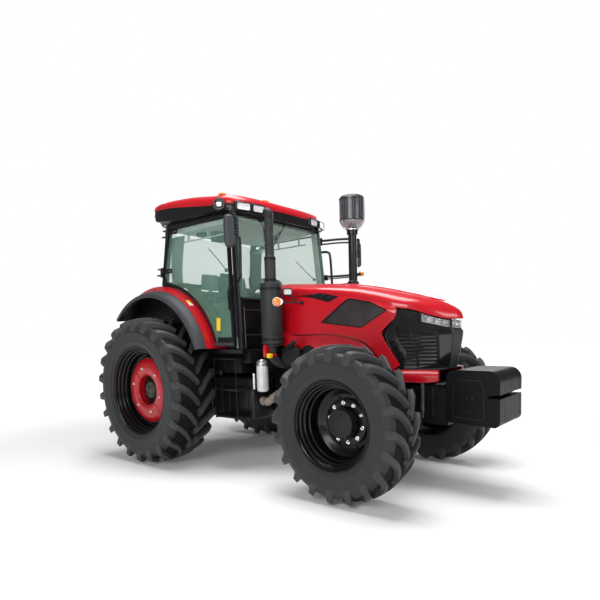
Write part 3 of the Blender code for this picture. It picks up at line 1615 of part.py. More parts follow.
def mirrors():
    for name, side in SIDES:
        head = box((-0.030, -0.085, -0.170), (0.030, 0.085, 0.170), 0.025)
        turn = Matrix.Rotation(side * math.radians(35), 4, "Z")
        place = Matrix.Translation((1.600, side * 1.130, 2.510)) @ turn
        arm = pipe(
            [
                (front_x(2.700) - 0.020, side * (side_y(2.680) + GAP), 2.700),
                (front_x(2.700) - 0.020, side * 0.800, 2.700),
                (1.420, side * 0.940, 2.720),
                (1.590, side * 1.110, 2.720),
                (1.600, side * 1.130, 2.620),
            ],
            0.014,
        )
        node("mirror_" + name, fused(moved(head, place), arm), PLASTIC)


for side_name, side_sign in SIDES:
    rear_wheel(side_name, side_sign)
    front_wheel(side_name, side_sign)
    knuckle(side_name, side_sign)
    fender(side_name, side_sign)
    door(side_name, side_sign)
tie_rod()
front_axle()
front_frame()
front_weights()
driveline()
rear_lift()
top_link()
hood()
hood_meshes()
nose_mask()
headlight_band()
lower_panels()
cab_floor()
cab_frame()
firewall()
windshield()
rear_window()
roof()
seat()
steering_wheel()
side_tanks()
filter_canister()
muffler()
air_intake()
mirrors()
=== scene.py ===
import math

import bmesh
import bpy
from mathutils import Matrix, Vector


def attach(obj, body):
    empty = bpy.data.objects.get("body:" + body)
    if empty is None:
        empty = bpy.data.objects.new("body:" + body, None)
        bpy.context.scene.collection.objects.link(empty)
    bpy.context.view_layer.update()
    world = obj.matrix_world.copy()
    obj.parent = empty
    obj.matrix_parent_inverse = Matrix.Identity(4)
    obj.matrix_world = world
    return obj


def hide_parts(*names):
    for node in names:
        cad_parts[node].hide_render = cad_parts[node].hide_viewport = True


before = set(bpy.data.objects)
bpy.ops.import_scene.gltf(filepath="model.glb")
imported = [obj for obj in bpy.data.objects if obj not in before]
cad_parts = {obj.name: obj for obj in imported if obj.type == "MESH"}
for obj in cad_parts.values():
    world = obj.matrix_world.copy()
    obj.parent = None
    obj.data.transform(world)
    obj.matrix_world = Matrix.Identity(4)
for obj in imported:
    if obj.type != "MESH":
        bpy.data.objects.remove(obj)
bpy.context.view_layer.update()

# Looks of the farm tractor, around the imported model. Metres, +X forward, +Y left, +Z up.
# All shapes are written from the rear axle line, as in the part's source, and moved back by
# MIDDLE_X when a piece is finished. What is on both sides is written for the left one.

MIDDLE_X = 1.417
SHIFT = Matrix.Translation((-MIDDLE_X, 0, 0))
SIDE_NAMES = {-1: "right", 1: "left"}
SIDES = tuple(SIDE_NAMES)
TAU = 2 * math.pi


# ---- Materials: every one has its own variation, grain and finish from nodes

ROUGH_VARY = 0.12
DUST_COLOUR = (0.16, 0.14, 0.12, 1)
DUST_TOP = 0.9


def add_node(tree, kind, values=(), feeds=(), **settings):
    """A node with its settings, its input values and the sockets that feed it."""
    made = tree.nodes.new("ShaderNode" + kind)
    for key, value in settings.items():
        setattr(made, key, value)
    for key, value in dict(values).items():
        made.inputs[key].default_value = value
    for key, socket in dict(feeds).items():
        tree.links.new(socket, made.inputs[key])
    return made


def surface(name, colour, rough, metal=0.0, coat=0.0, vary=0.10, size=3.0, grain=0.0, grain_size=300.0,
            alpha=1.0, sheen=0.0, light=None, dust=0.0, coat_rough=0.04, spec=0.5):
    """Principled surface with cloudy colour and roughness, fine grain in the normal and dust below."""
    made = bpy.data.materials.new(name)
    made.use_nodes = True
    tree = made.node_tree
    shader = tree.nodes["Principled BSDF"]
    place = add_node(tree, "TexCoord").outputs["Object"]
    cloud = add_node(tree, "TexNoise", {"Scale": size, "Detail": 6.0}, {"Vector": place}).outputs["Fac"]
    ramp = add_node(tree, "ValToRGB", feeds={"Fac": cloud})
    dark = [c * (1 - vary) for c in colour]
    pale = light or [min(c * (1 + vary), 1.0) for c in colour]
    for stop, spot, shade in zip(ramp.color_ramp.elements, (0.3, 0.7), (dark, pale)):
        stop.position = spot
        stop.color = (*shade, 1)
    out = ramp.outputs["Color"]
    if dust:
        split = add_node(tree, "SeparateXYZ", feeds={0: place})
        low = add_node(tree, "MapRange", {"From Min": DUST_TOP, "From Max": 0.0, "To Max": dust},
                       {"Value": split.outputs["Z"]})
        mix = add_node(tree, "Mix", {7: DUST_COLOUR}, {0: low.outputs[0], 6: out}, data_type="RGBA")
        out = mix.outputs[2]
    tree.links.new(out, shader.inputs["Base Color"])
    spread = add_node(tree, "MapRange", {"To Min": max(rough * (1 - ROUGH_VARY), 0.01),
                                         "To Max": min(rough * (1 + ROUGH_VARY), 1.0)}, {"Value": cloud})
    tree.links.new(spread.outputs[0], shader.inputs["Roughness"])
    for key, value in (("Metallic", metal), ("Specular IOR Level", spec), ("Coat Weight", coat),
                       ("Coat Roughness", coat_rough), ("Sheen Weight", sheen), ("Alpha", alpha)):
        shader.inputs[key].default_value = value
    if grain:
        fine = add_node(tree, "TexNoise", {"Scale": grain_size, "Detail": 3.0}, {"Vector": place})
        bump = add_node(tree, "Bump", {"Strength": grain, "Distance": 0.001}, {"Height": fine.outputs["Fac"]})
        tree.links.new(bump.outputs[0], shader.inputs["Normal"])
    return made


RED = surface("red_paint", (0.44, 0.0020, 0.0098), 0.36, coat=0.55, vary=0.05, size=1.4, grain=0.03, grain_size=900,
              coat_rough=0.05, spec=0.25)
DEEP_RED = surface("red_cast_paint", (0.42, 0.0035, 0.010), 0.38, coat=0.35, vary=0.07, size=5, grain=0.10,
                   grain_size=350, spec=0.3)
BLACK = surface("black_paint", (0.007, 0.007, 0.008), 0.34, coat=0.12, vary=0.18, size=4, grain=0.05, grain_size=500,
                spec=0.22)
GLOSS = surface("gloss_black", (0.006, 0.006, 0.007), 0.14, coat=0.55, vary=0.15, size=3, spec=0.3)
RIM = surface("rim_black", (0.0032, 0.0032, 0.0036), 0.30, coat=0.14, vary=0.15, size=5, grain=0.03, grain_size=400,
              dust=0.015, spec=0.20, coat_rough=0.14)
CAST = surface("cast_black", (0.007, 0.007, 0.008), 0.46, vary=0.30, size=6, grain=0.35, grain_size=260, dust=0.03,
               spec=0.18)
PLASTIC = surface("dark_plastic", (0.016, 0.0165, 0.018), 0.50, vary=0.12, size=5, grain=0.22, grain_size=800,
                  spec=0.22)
GREY = surface("grey_plastic", (0.040, 0.043, 0.048), 0.42, vary=0.10, size=4, grain=0.15, grain_size=900, spec=0.25)
LIP = surface("fender_lip_rubber", (0.044, 0.047, 0.052), 0.46, vary=0.12, size=3, grain=0.2, grain_size=700, spec=0.22)
RUBBER = surface("tyre_rubber", (0.019, 0.0200, 0.0220), 0.50, vary=0.16, size=3, grain=0.25, grain_size=450,
                 sheen=0.03, dust=0.03, spec=0.30)
# Darker copy of the tyre rubber for the crown between the lugs: painted shade in the gaps of the tread.
SHADED_TREAD_FLOOR = surface("tread_floor_painted_shade", (0.008, 0.008, 0.009), 0.62, vary=0.20, size=5, grain=0.3, grain_size=450,
                      spec=0.1)
# Paler copy of the tyre rubber for the lugs: painted light on the lugs that stand out into the light.
LIT_LUGS = surface("tread_lugs_painted_light", (0.031, 0.032, 0.034), 0.50, vary=0.16, size=4, grain=0.30, grain_size=350, sheen=0.05,
                  dust=0.05, spec=0.30)
HEAD = surface("intake_black", (0.028, 0.027, 0.034), 0.32, coat=0.30, vary=0.12, size=6, grain=0.1, grain_size=500,
               spec=0.4)
WEIGHT = surface("weight_black", (0.0035, 0.0035, 0.004), 0.42, vary=0.2, size=5, grain=0.15, grain_size=400, spec=0.14)
PRECLEAN = surface("smoked_bowl", (0.30, 0.31, 0.33), 0.10, coat=0.8, vary=0.10, size=12, alpha=0.45, coat_rough=0.02)
DARK_GLASS = surface("dark_lamp_glass", (0.010, 0.010, 0.011), 0.06, coat=1.0, vary=0.10, size=12, alpha=0.85,
                     coat_rough=0.01)
SOOT = surface("exhaust_matt", (0.020, 0.021, 0.023), 0.52, vary=0.14, size=7, grain=0.30, grain_size=350, spec=0.3)
CHROME = surface("chrome", (0.78, 0.79, 0.80), 0.10, metal=1.0, vary=0.03, size=8)
STEEL = surface("zinc_steel", (0.55, 0.54, 0.52), 0.34, metal=1.0, vary=0.12, size=20, grain=0.1, grain_size=500)
HUB = surface("oiled_hub", (0.060, 0.066, 0.048), 0.45, metal=0.6, vary=0.30, size=18, grain=0.4, grain_size=160)
SILVER = surface("filter_silver", (0.62, 0.62, 0.61), 0.36, metal=0.15, coat=0.3, vary=0.05, size=8)
PIPE = surface("beige_pipe", (0.26, 0.21, 0.17), 0.55, vary=0.22, size=12, grain=0.4, grain_size=200)
YELLOW = surface("yellow_plate", (0.85, 0.55, 0.02), 0.40, vary=0.04, size=20)
AMBER = surface("amber_lens", (0.90, 0.22, 0.01), 0.12, coat=1.0, vary=0.08, size=40)
RUBY = surface("red_lens", (0.45, 0.01, 0.01), 0.12, coat=1.0, vary=0.08, size=40)
LENS = surface("clear_lens", (0.86, 0.88, 0.90), 0.08, coat=1.0, vary=0.06, size=60)
CLOTH = surface("seat_cloth", (0.024, 0.028, 0.028), 0.85, vary=0.22, size=60, grain=0.8, grain_size=700, sheen=0.25,
                spec=0.2)
TRIM = surface("cab_trim", (0.16, 0.18, 0.172), 0.62, vary=0.08, size=6, grain=0.25, grain_size=600, spec=0.3)
PALE_TRIM = surface("pale_trim", (0.42, 0.46, 0.44), 0.60, vary=0.06, size=6, grain=0.2, grain_size=600)
PLEAT = surface("pleated_trim", (0.16, 0.175, 0.165), 0.75, vary=0.10, size=9, grain=0.4, grain_size=500, sheen=0.2)
GREEN_TRIM = surface("door_trim_green", (0.022, 0.042, 0.017), 0.55, vary=0.08, size=6, grain=0.25, grain_size=600,
                     spec=0.25)
DARK_TRIM = surface("dark_trim", (0.018, 0.021, 0.021), 0.60, vary=0.12, size=6, grain=0.25, grain_size=600, spec=0.2)
MIRROR = surface("mirror_glass", (0.82, 0.84, 0.85), 0.03, metal=1.0, vary=0.02, size=3)
GLASS = surface("tinted_glass", (0.27, 0.52, 0.41), 0.04, coat=0.6, vary=0.04, size=1.5, alpha=0.16, coat_rough=0.01,
                spec=0.4)
BOWL = surface("clear_bowl", (0.60, 0.62, 0.64), 0.05, coat=1.0, vary=0.04, size=9, alpha=0.20, coat_rough=0.01)
MESH = surface("grille_mesh", (0.008, 0.0065, 0.0065), 0.40, vary=0.4, size=2.2, spec=0.3, light=(0.050, 0.040, 0.040))
SLAT = surface("mask_grey", (0.030, 0.031, 0.033), 0.42, vary=0.12, size=6, grain=0.2, grain_size=700, spec=0.3)


def perforate(made, pitch, hole):
    """Adds a woven grid of dark holes to a flat grille."""
    tree = made.node_tree
    place = tree.nodes["Texture Coordinate"].outputs["Object"]
    waves = []
    for turn in (math.radians(45), math.radians(-45)):
        spin = add_node(tree, "Mapping", {"Rotation": (0, turn, 0)}, {"Vector": place})
        wave = add_node(tree, "TexWave", {"Scale": 1 / (pitch * 3.14)}, {"Vector": spin.outputs[0]})
        waves.append(wave.outputs["Fac"])
    both = add_node(tree, "Math", feeds=dict(enumerate(waves)), operation="MINIMUM")
    bump = add_node(tree, "Bump", {"Strength": hole, "Distance": 0.003}, {"Height": both.outputs[0]})
    tree.links.new(bump.outputs[0], tree.nodes["Principled BSDF"].inputs["Normal"])


perforate(MESH, 0.012, 0.9)


# ---- Shape tools

def turns(count, start=0.0):
    """Angles of count even steps round a circle, from start in degrees."""
    return [math.radians(start) + TAU * i / count for i in range(count)]


def curve_through(points, fine, closed=False):
    """Catmull-Rom points through the given ones."""
    pts = [Vector(p) for p in points]
    count = len(pts)
    made = []
    for i in range(count if closed else count - 1):
        a = pts[i - 1] if (i or closed) else pts[0]
        b, c = pts[i], pts[(i + 1) % count]
        d = pts[(i + 2) % count] if (i + 2 < count or closed) else pts[-1]
        for k in range(fine):
            t = k / fine
            made.append(
                0.5 * (2 * b + (c - a) * t + (2 * a - 5 * b + 4 * c - d) * t**2 + (3 * b - a - 3 * c + d) * t**3)
            )
    return made if closed else made + [pts[-1]]


def blend_table(table, x):
    """Smooth value of a table of (x, value) at x."""
    if x <= table[0][0]:
        return table[0][1]
    for i, ((x0, y0), (x1, y1)) in enumerate(zip(table, table[1:])):
        if x <= x1:
            before = table[i - 1] if i else (2 * x0 - x1, y0 - (y1 - y0))
            after = table[i + 2] if i + 2 < len(table) else (2 * x1 - x0, y1 + (y1 - y0))
            m0 = (y1 - before[1]) / (x1 - before[0]) * (x1 - x0)
            m1 = (after[1] - y0) / (after[0] - x0) * (x1 - x0)
            t = (x - x0) / (x1 - x0)
            return (
                (2 * t**3 - 3 * t**2 + 1) * y0 + (t**3 - 2 * t**2 + t) * m0
                + (3 * t**2 - 2 * t**3) * y1 + (t**3 - t**2) * m1
            )
    return table[-1][1]


def column(table, x, place):
    """Smooth value at x of one column of a table whose first column is x."""
    return blend_table([(row[0], row[place]) for row in table], x)


def ease(t):
    t = min(max(t, 0.0), 1.0)
    return t * t * (3 - 2 * t)


def arc(centre, radius, start, end, count):
    angles = [math.radians(start + (end - start) * i / (count - 1)) for i in range(count)]
    return [(centre[0] + radius * math.cos(a), centre[1] + radius * math.sin(a)) for a in angles]


def shrink(outline, gap):
    """The outline drawn in by gap on every side."""
    area = sum(a[0] * b[1] - b[0] * a[1] for a, b in zip(outline, outline[1:] + outline[:1]))
    turn = 1 if area > 0 else -1
    made = []
    for i, (x, y) in enumerate(outline):
        before = Vector(outline[i]) - Vector(outline[i - 1])
        after = Vector(outline[(i + 1) % len(outline)]) - Vector(outline[i])
        one, two = [Vector((-way.y, way.x)).normalized() * turn for way in (before, after)]
        out = (one + two).normalized()
        out *= gap / max(out.dot(one), 0.3)
        made.append((x + out.x, y + out.y))
    return made


def aim(axis):
    """Turns +Z to the axis."""
    return Vector((0, 0, 1)).rotation_difference(Vector(axis)).to_matrix().to_4x4()


def turned(middle, degrees, axis="Z"):
    return Matrix.Translation(middle) @ Matrix.Rotation(math.radians(degrees), 4, axis)


def slab(x0, x1, y0, y1, z):
    """Four corners of a level rectangle."""
    return [(x0, y0, z), (x1, y0, z), (x1, y1, z), (x0, y1, z)]


def skin(bm, rows, ring=True, loop=False):
    """Faces between rows of vertices. ring closes each row, loop joins the last row to the first."""
    count = len(rows[0])
    for low, high in zip(rows, rows[1:] + rows[:1] if loop else rows[1:]):
        for i in range(count if ring else count - 1):
            j = (i + 1) % count
            bm.faces.new((low[i], low[j], high[j], high[i]))


def link(obj):
    bpy.context.scene.collection.objects.link(obj)
    return obj


class Shape:
    """Gathers solids into one mesh, which becomes one piece. Points are given for the left side;
    side mirrors them, and slot is the look of the parts that follow."""

    def __init__(self, side=1):
        self.bm = bmesh.new()
        self.side = side
        self.slot = 0

    def at(self, point):
        return Vector((point[0], self.side * point[1], point[2]))

    def take(self, part, matrix=None):
        if matrix is not None:
            part.transform(matrix)
        bmesh.ops.recalc_face_normals(part, faces=part.faces)
        for face in part.faces:
            face.material_index = self.slot
        mesh = bpy.data.meshes.new("part")
        part.to_mesh(mesh)
        part.free()
        self.bm.from_mesh(mesh)
        bpy.data.meshes.remove(mesh)

    def box(self, low, high, edge=0.004, steps=2, matrix=None):
        """A box with rounded edges; with a matrix it is in the matrix's own axes."""
        if matrix is None:
            low, high = self.at(low), self.at(high)
        bm = bmesh.new()
        bmesh.ops.create_cube(bm, size=1.0)
        bmesh.ops.scale(bm, vec=[abs(b - a) for a, b in zip(low, high)], verts=bm.verts)
        bmesh.ops.translate(bm, vec=[(a + b) / 2 for a, b in zip(low, high)], verts=bm.verts)
        if edge:
            bmesh.ops.bevel(bm, geom=bm.edges[:], offset=edge, segments=steps, affect="EDGES", profile=0.5)
        self.take(bm, matrix)

    def boxes(self, edge, *corners):
        for low, high in corners:
            self.box(low, high, edge)

    def rod(self, start, end, radius, end_radius=None, sides=24, edge=0.0):
        start = self.at(start)
        way = self.at(end) - start
        bm = bmesh.new()
        last = radius if end_radius is None else end_radius
        bmesh.ops.create_cone(bm, cap_ends=True, segments=sides, radius1=radius, radius2=last, depth=way.length)
        if edge:
            rims = [e for e in bm.edges if len({round(v.co.z, 5) for v in e.verts}) == 1]
            bmesh.ops.bevel(bm, geom=rims, offset=edge, segments=2, affect="EDGES", profile=0.5)
        self.take(bm, Matrix.Translation(start + way / 2) @ way.to_track_quat("Z", "Y").to_matrix().to_4x4())

    def lathe(self, profile, centre, axis=(0, 0, 1), steps=64, ring=False):
        """profile is (radius, height); ring closes it, otherwise it runs from axis to axis."""
        bm = bmesh.new()
        poles = [bm.verts.new((0, 0, h)) if r < 1e-6 else None for r, h in profile]
        rows = [[pole or bm.verts.new((r * math.cos(a), r * math.sin(a), h)) for pole, (r, h) in zip(poles, profile)]
                for a in turns(steps)]
        for one, two in zip(rows, rows[1:] + rows[:1]):
            for k in range(len(profile) if ring else len(profile) - 1):
                m = (k + 1) % len(profile)
                corners = list(dict.fromkeys((one[k], two[k], two[m], one[m])))
                if len(corners) > 2:
                    bm.faces.new(corners)
        self.take(bm, Matrix.Translation(self.at(centre)) @ aim(self.at(axis)))

    def tube(self, points, radius, sides=12, fine=6, closed=False):
        """A round bar along a smooth curve through the points."""
        line = [self.at(p) for p in points]
        if fine > 1:
            line = curve_through(line, fine, closed)
        bm = bmesh.new()
        rings = []
        up = Vector((0.13, 0.29, 0.95))
        for i, p in enumerate(line):
            a = line[i - 1] if (i or closed) else p
            b = line[(i + 1) % len(line)] if (i < len(line) - 1 or closed) else p
            way = (b - a).normalized()
            side = way.cross(up).normalized()
            up = side.cross(way).normalized()
            r = radius(i / (len(line) - 1)) if callable(radius) else radius
            rings.append([bm.verts.new(p + (side * math.cos(t) + up * math.sin(t)) * r) for t in turns(sides)])
        skin(bm, rings, loop=closed)
        if not closed:
            bm.faces.new(rings[0])
            bm.faces.new(rings[-1])
        self.take(bm)

    def loft(self, rings, matrix=None):
        bm = bmesh.new()
        rows = [[bm.verts.new(p if matrix else self.at(p)) for p in ring] for ring in rings]
        skin(bm, rows)
        bm.faces.new(rows[0])
        bm.faces.new(rows[-1])
        self.take(bm, matrix)

    def plate(self, outline, near, far, holes=(), level=False, bend=None, cell=0.0):
        """A plate from an outline in x and z (x and y if level), with holes. bend moves each point;
        cell is the size it is cut to."""
        curve = bpy.data.curves.new("plate", "CURVE")
        curve.dimensions = "2D"
        curve.fill_mode = "BOTH"
        curve.extrude = abs(far - near) / 2
        for loop in (outline, *holes):
            spline = curve.splines.new("POLY")
            spline.points.add(len(loop) - 1)
            spline.use_cyclic_u = True
            for point, (a, b) in zip(spline.points, loop):
                point.co = (a, b, 0.0, 1.0)
        obj = link(bpy.data.objects.new("plate", curve))
        bpy.context.view_layer.update()
        mesh = bpy.data.meshes.new_from_object(obj)
        bpy.data.objects.remove(obj, do_unlink=True)
        bm = bmesh.new()
        bm.from_mesh(mesh)
        bpy.data.meshes.remove(mesh)
        bmesh.ops.remove_doubles(bm, verts=bm.verts, dist=0.00005)
        middle = (near + far) / 2 * (1 if bend else self.side)
        for v in bm.verts:
            x, y, z = v.co
            v.co = (x, y, z + middle) if level else (x, z + middle, y)
        if cell:
            for axis in (Vector((1, 0, 0)), Vector((0, 0, 1))):
                spots = [v.co.dot(axis) for v in bm.verts]
                count = int((max(spots) - min(spots)) / cell)
                for i in range(1, count + 1):
                    at = min(spots) + (max(spots) - min(spots)) * i / (count + 1)
                    geom = bm.verts[:] + bm.edges[:] + bm.faces[:]
                    bmesh.ops.bisect_plane(bm, geom=geom, plane_co=axis * at, plane_no=axis)
        if bend:
            for v in bm.verts:
                v.co = self.at(bend(*v.co))
        self.take(bm)

    def sheet(self, rows, wall=0.0):
        """An open grid of points, thickened to its inner side: against the grid's own normals."""
        rows = [[self.at(p) for p in row] for row in rows]
        inner = []
        for i, row in enumerate(rows):
            line = []
            for k, p in enumerate(row):
                one = rows[min(i + 1, len(rows) - 1)][k] - rows[max(i - 1, 0)][k]
                two = row[min(k + 1, len(row) - 1)] - row[max(k - 1, 0)]
                line.append(p - one.cross(two).normalized() * wall * self.side)
            inner.append(line)
        bm = bmesh.new()
        outer, under = [[[bm.verts.new(p) for p in row] for row in grid] for grid in (rows, inner)]
        skin(bm, outer, ring=False)
        skin(bm, under, ring=False)
        for i in (0, -1):
            skin(bm, [outer[i], under[i]], ring=False)
            skin(bm, [[row[i] for row in outer], [row[i] for row in under]], ring=False)
        self.take(bm)

    def bolt(self, centre, size, axis=(0, 1, 0), washer=True):
        """A hexagon head on a washer, standing on the surface at centre."""
        c, a = Vector(centre), Vector(axis).normalized()
        if washer:
            self.rod(c - a * 0.002, c + a * size * 0.16, size * 0.72, sides=20)
        self.rod(c, c + a * size * 0.70, size * 0.55, size * 0.50, sides=6)
        self.rod(c + a * size * 0.5, c + a * size * 0.95, size * 0.30, size * 0.24, sides=12)

    def bolt_ring(self, centre, radius, out, count, start, size):
        """Bolts round a wheel's axis."""
        for a in turns(count, start):
            self.bolt(on_wheel(centre, radius, a, out), size)

    def done(self, name, look, body="chassis", angle=35, replaces="", bevel=0.0):
        """Makes the piece. A name that ends in _ gets its side's name."""
        name, body, replaces = [text + SIDE_NAMES[self.side] if text.endswith("_") else text
                                for text in (name, body, replaces)]
        mesh = bpy.data.meshes.new(name)
        self.bm.transform(SHIFT)
        self.bm.to_mesh(mesh)
        self.bm.free()
        obj = link(bpy.data.objects.new(name, mesh))
        for one in look if isinstance(look, tuple) else (look,):
            mesh.materials.append(one)
        mesh.shade_smooth()
        mesh.set_sharp_from_angle(angle=math.radians(angle))
        if bevel:
            mod = obj.modifiers.new("bevel", "BEVEL")
            mod.width = bevel
            mod.segments = 2
            mod.limit_method = "ANGLE"
            mod.angle_limit = math.radians(40)
        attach(obj, body)
        if replaces:
            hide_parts(replaces)
        return obj


# ---- Camera, floor and light

CAMERA_X, CAMERA_Y, CAMERA_Z = 5.329, -4.492, 1.506
YAW, PITCH, ROLL = math.radians(38.258), math.radians(-5.063), math.radians(-1.385)
WORLD_FILL = 0.20
FLOOR_GLOW = 0.06
FLOOR_NEAR, FLOOR_FAR = 3.5, 9.0


def camera():
    data = bpy.data.cameras.new("camera")
    data.sensor_width = 36.0
    data.lens = 30.096
    data.shift_x = -0.0331
    data.shift_y = 0.1287
    data.clip_end = 300.0
    obj = link(bpy.data.objects.new("camera", data))
    ahead = Vector((-math.sin(YAW) * math.cos(PITCH), math.cos(YAW) * math.cos(PITCH), math.sin(PITCH)))
    level = Vector((math.cos(YAW), math.sin(YAW), 0.0))
    above = level.cross(ahead)
    right = level * math.cos(ROLL) + above * math.sin(ROLL)
    up = above * math.cos(ROLL) - level * math.sin(ROLL)
    turn = Matrix((right, up, -ahead)).transposed().to_4x4()
    obj.matrix_world = Matrix.Translation((CAMERA_X - MIDDLE_X, CAMERA_Y, CAMERA_Z)) @ turn
    bpy.context.scene.camera = obj
    bpy.context.scene.view_settings.view_transform = "Standard"


def softbox(name, place, look_at, width, height, power):
    data = bpy.data.lights.new(name, "AREA")
    data.shape = "RECTANGLE"
    data.size = width
    data.size_y = height
    data.energy = power
    obj = link(bpy.data.objects.new(name, data))
    way = Vector(look_at) - Vector(place)
    obj.matrix_world = Matrix.Translation(place) @ way.to_track_quat("-Z", "Y").to_matrix().to_4x4()


def studio():
    world = bpy.data.worlds.new("white_studio")
    bpy.context.scene.world = world
    world.use_nodes = True
    tree = world.node_tree
    fill = tree.nodes["Background"]
    fill.inputs["Color"].default_value = (0.96, 0.98, 1.0, 1)
    fill.inputs["Strength"].default_value = WORLD_FILL
    white = add_node(tree, "Background", {"Color": (1, 1, 1, 1)})
    path = add_node(tree, "LightPath").outputs
    either = add_node(tree, "Math", feeds={0: path["Is Camera Ray"], 1: path["Is Transmission Ray"]},
                      operation="MAXIMUM")
    mix = add_node(tree, "MixShader", feeds={0: either.outputs[0], 1: fill.outputs[0], 2: white.outputs[0]})
    tree.links.new(mix.outputs[0], tree.nodes["World Output"].inputs["Surface"])

    floor = Shape()
    floor.plate([(-45, -45), (60, -45), (60, 45), (-45, 45)], -0.02, -0.0005, level=True)
    look = surface("studio_floor", (0.80, 0.80, 0.805), 0.55, vary=0.012, size=0.4, spec=0.25)
    tree = look.node_tree
    shader = tree.nodes["Principled BSDF"]
    shader.inputs["Emission Color"].default_value = (1, 1, 1, 1)
    away = add_node(tree, "VectorMath", feeds={0: tree.nodes["Texture Coordinate"].outputs["Object"]},
                    operation="LENGTH")
    rise = add_node(tree, "MapRange", {"From Min": FLOOR_NEAR, "From Max": FLOOR_FAR, "To Min": FLOOR_GLOW,
                                       "To Max": 1.0}, {"Value": away.outputs["Value"]},
                    interpolation_type="SMOOTHSTEP")
    tree.links.new(rise.outputs[0], shader.inputs["Emission Strength"])
    mesh = bpy.data.meshes.new("floor")
    floor.bm.to_mesh(mesh)
    floor.bm.free()
    mesh.materials.append(look)
    link(bpy.data.objects.new("floor", mesh))

    softbox("sky_box", (0.2, -0.4, 7.5), (0.2, 0, 1.0), 6.0, 3.6, 700)
    softbox("side_box", (2.6, -7.5, 4.6), (0.2, 0, 1.2), 5.0, 1.8, 290)
    softbox("front_box", (7.8, -0.6, 3.8), (1.0, 0, 1.0), 2.6, 2.0, 120)
    softbox("far_box", (-1.6, 7.5, 4.8), (0, 0, 1.6), 5.0, 2.4, 200)
    softbox("low_box", (2.2, -6.4, 0.5), (0.5, 0, 0.8), 5.0, 0.35, 26)


# ---- Wheels

GAP = 0.0003
WHEELBASE = 2.761
REAR_TRACK = 1.944
FRONT_TRACK = 1.862
REAR_Z = 0.8694
FRONT_Z = 0.7014

# Each tyre: tip radius, half width, lugs on a side, bead radius, half of the bead spacing, height
# of the lugs, half widths of a lug at its top and at its foot
REAR_TYRE = dict(tip=0.869, half=0.2715, lugs=22, bead=0.5053, seat=0.222, lug=0.052, top=0.027, foot=0.043)
FRONT_TYRE = dict(tip=0.701, half=0.209, lugs=20, bead=0.3773, seat=0.176, lug=0.045, top=0.023, foot=0.037)

# Carcass from the crown to the bead: share of the half width, share of the height above the bead
CARCASS = [
    (0.00, 0.857), (0.20, 0.856), (0.42, 0.848), (0.62, 0.830), (0.78, 0.796), (0.88, 0.745), (0.94, 0.680),
    (0.975, 0.600), (0.990, 0.520), (0.993, 0.510), (0.990, 0.500), (0.985, 0.420), (0.972, 0.330),
    (0.952, 0.240), (0.955, 0.225), (0.948, 0.208), (0.925, 0.140), (0.905, 0.105), (0.908, 0.090),
    (0.895, 0.075), (0.870, 0.030), (0.835, 0.0),
]

# Lug from the middle line outward: share of the half width, share of the height above the bead of
# its top, the same two for its foot, share of the full top width, lean in lug pitches
LUG = [
    (0.02, 1.000, 0.02, 0.830, 0.80, 0.00),
    (0.10, 1.000, 0.10, 0.830, 0.95, 0.11),
    (0.24, 0.998, 0.24, 0.828, 1.00, 0.30),
    (0.40, 0.992, 0.40, 0.820, 1.00, 0.50),
    (0.56, 0.980, 0.56, 0.806, 1.02, 0.67),
    (0.72, 0.962, 0.72, 0.780, 1.06, 0.80),
    (0.85, 0.938, 0.84, 0.730, 1.12, 0.89),
    (0.945, 0.905, 0.90, 0.660, 1.18, 0.945),
    (0.985, 0.870, 0.93, 0.610, 1.20, 0.965),
    (1.000, 0.800, 0.95, 0.560, 1.18, 0.975),
    (1.000, 0.690, 0.96, 0.520, 1.10, 0.980),
    (0.992, 0.600, 0.97, 0.490, 1.00, 0.980),
]

# Section of a lug: side of its middle line, which width, share of its height
LUG_SECTION = ((-1, "foot", 0.0), (-1, "neck", 0.72), (-1, "top", 1.0),
               (1, "top", 1.0), (1, "neck", 0.72), (1, "foot", 0.0))


def on_wheel(centre, radius, angle, out=0.0):
    """Place at a radius and angle round a wheel's axis, out from its middle."""
    return centre[0] + radius * math.cos(angle), centre[1] + out, centre[2] + radius * math.sin(angle)


def tyre(kind, centre, side, end):
    rise = kind["tip"] - kind["bead"]

    def place(share, height):
        return share * kind["half"], kind["bead"] + height * rise

    profile = [(r, h) for h, r in (place(s, t) for s, t in CARCASS)]
    ring = [(r, -h) for r, h in reversed(profile)][:-1] + profile
    shape = Shape(side)
    shape.lathe(ring, centre, (0, 1, 0), steps=132, ring=True)
    # Faces of the crown between the lugs take the second look, a darker rubber: painted shade in the gaps of the tread.
    for face in shape.bm.faces:
        spot = face.calc_center_median() - Vector(centre)
        if math.hypot(spot.x, spot.z) > kind["bead"] + 0.775 * rise:
            face.material_index = 1
    # The lugs take the third look, a paler rubber: painted light on the lugs.
    shape.slot = 2
    pitch = TAU / kind["lugs"]
    widths = dict(foot=kind["foot"], neck=kind["top"] + 0.005, top=kind["top"])
    for row in SIDES:
        for k in range(kind["lugs"]):
            first = 2 * k + (1 if row < 0 else 0)
            rings = []
            for s_top, h_top, s_foot, h_foot, wide, lean in LUG:
                angle = -math.pi / 2 + (first + 1) * pitch / 2 + lean * pitch
                y1, r1 = place(s_top, h_top)
                y0, r0 = place(s_foot, h_foot)
                ring = []
                for way, width, share in LUG_SECTION:
                    r = r0 + (r1 - r0) * share
                    y = y0 + (y1 - y0) * share
                    ring.append(on_wheel(centre, r, angle + way * widths[width] * wide / r, row * side * y))
                rings.append(ring)
            shape.loft(rings)
    shape.done("rubber_" + end, (RUBBER, SHADED_TREAD_FLOOR, LIT_LUGS), "wheel_" + end, angle=30, replaces="tyre_" + end,
               bevel=0.0035)


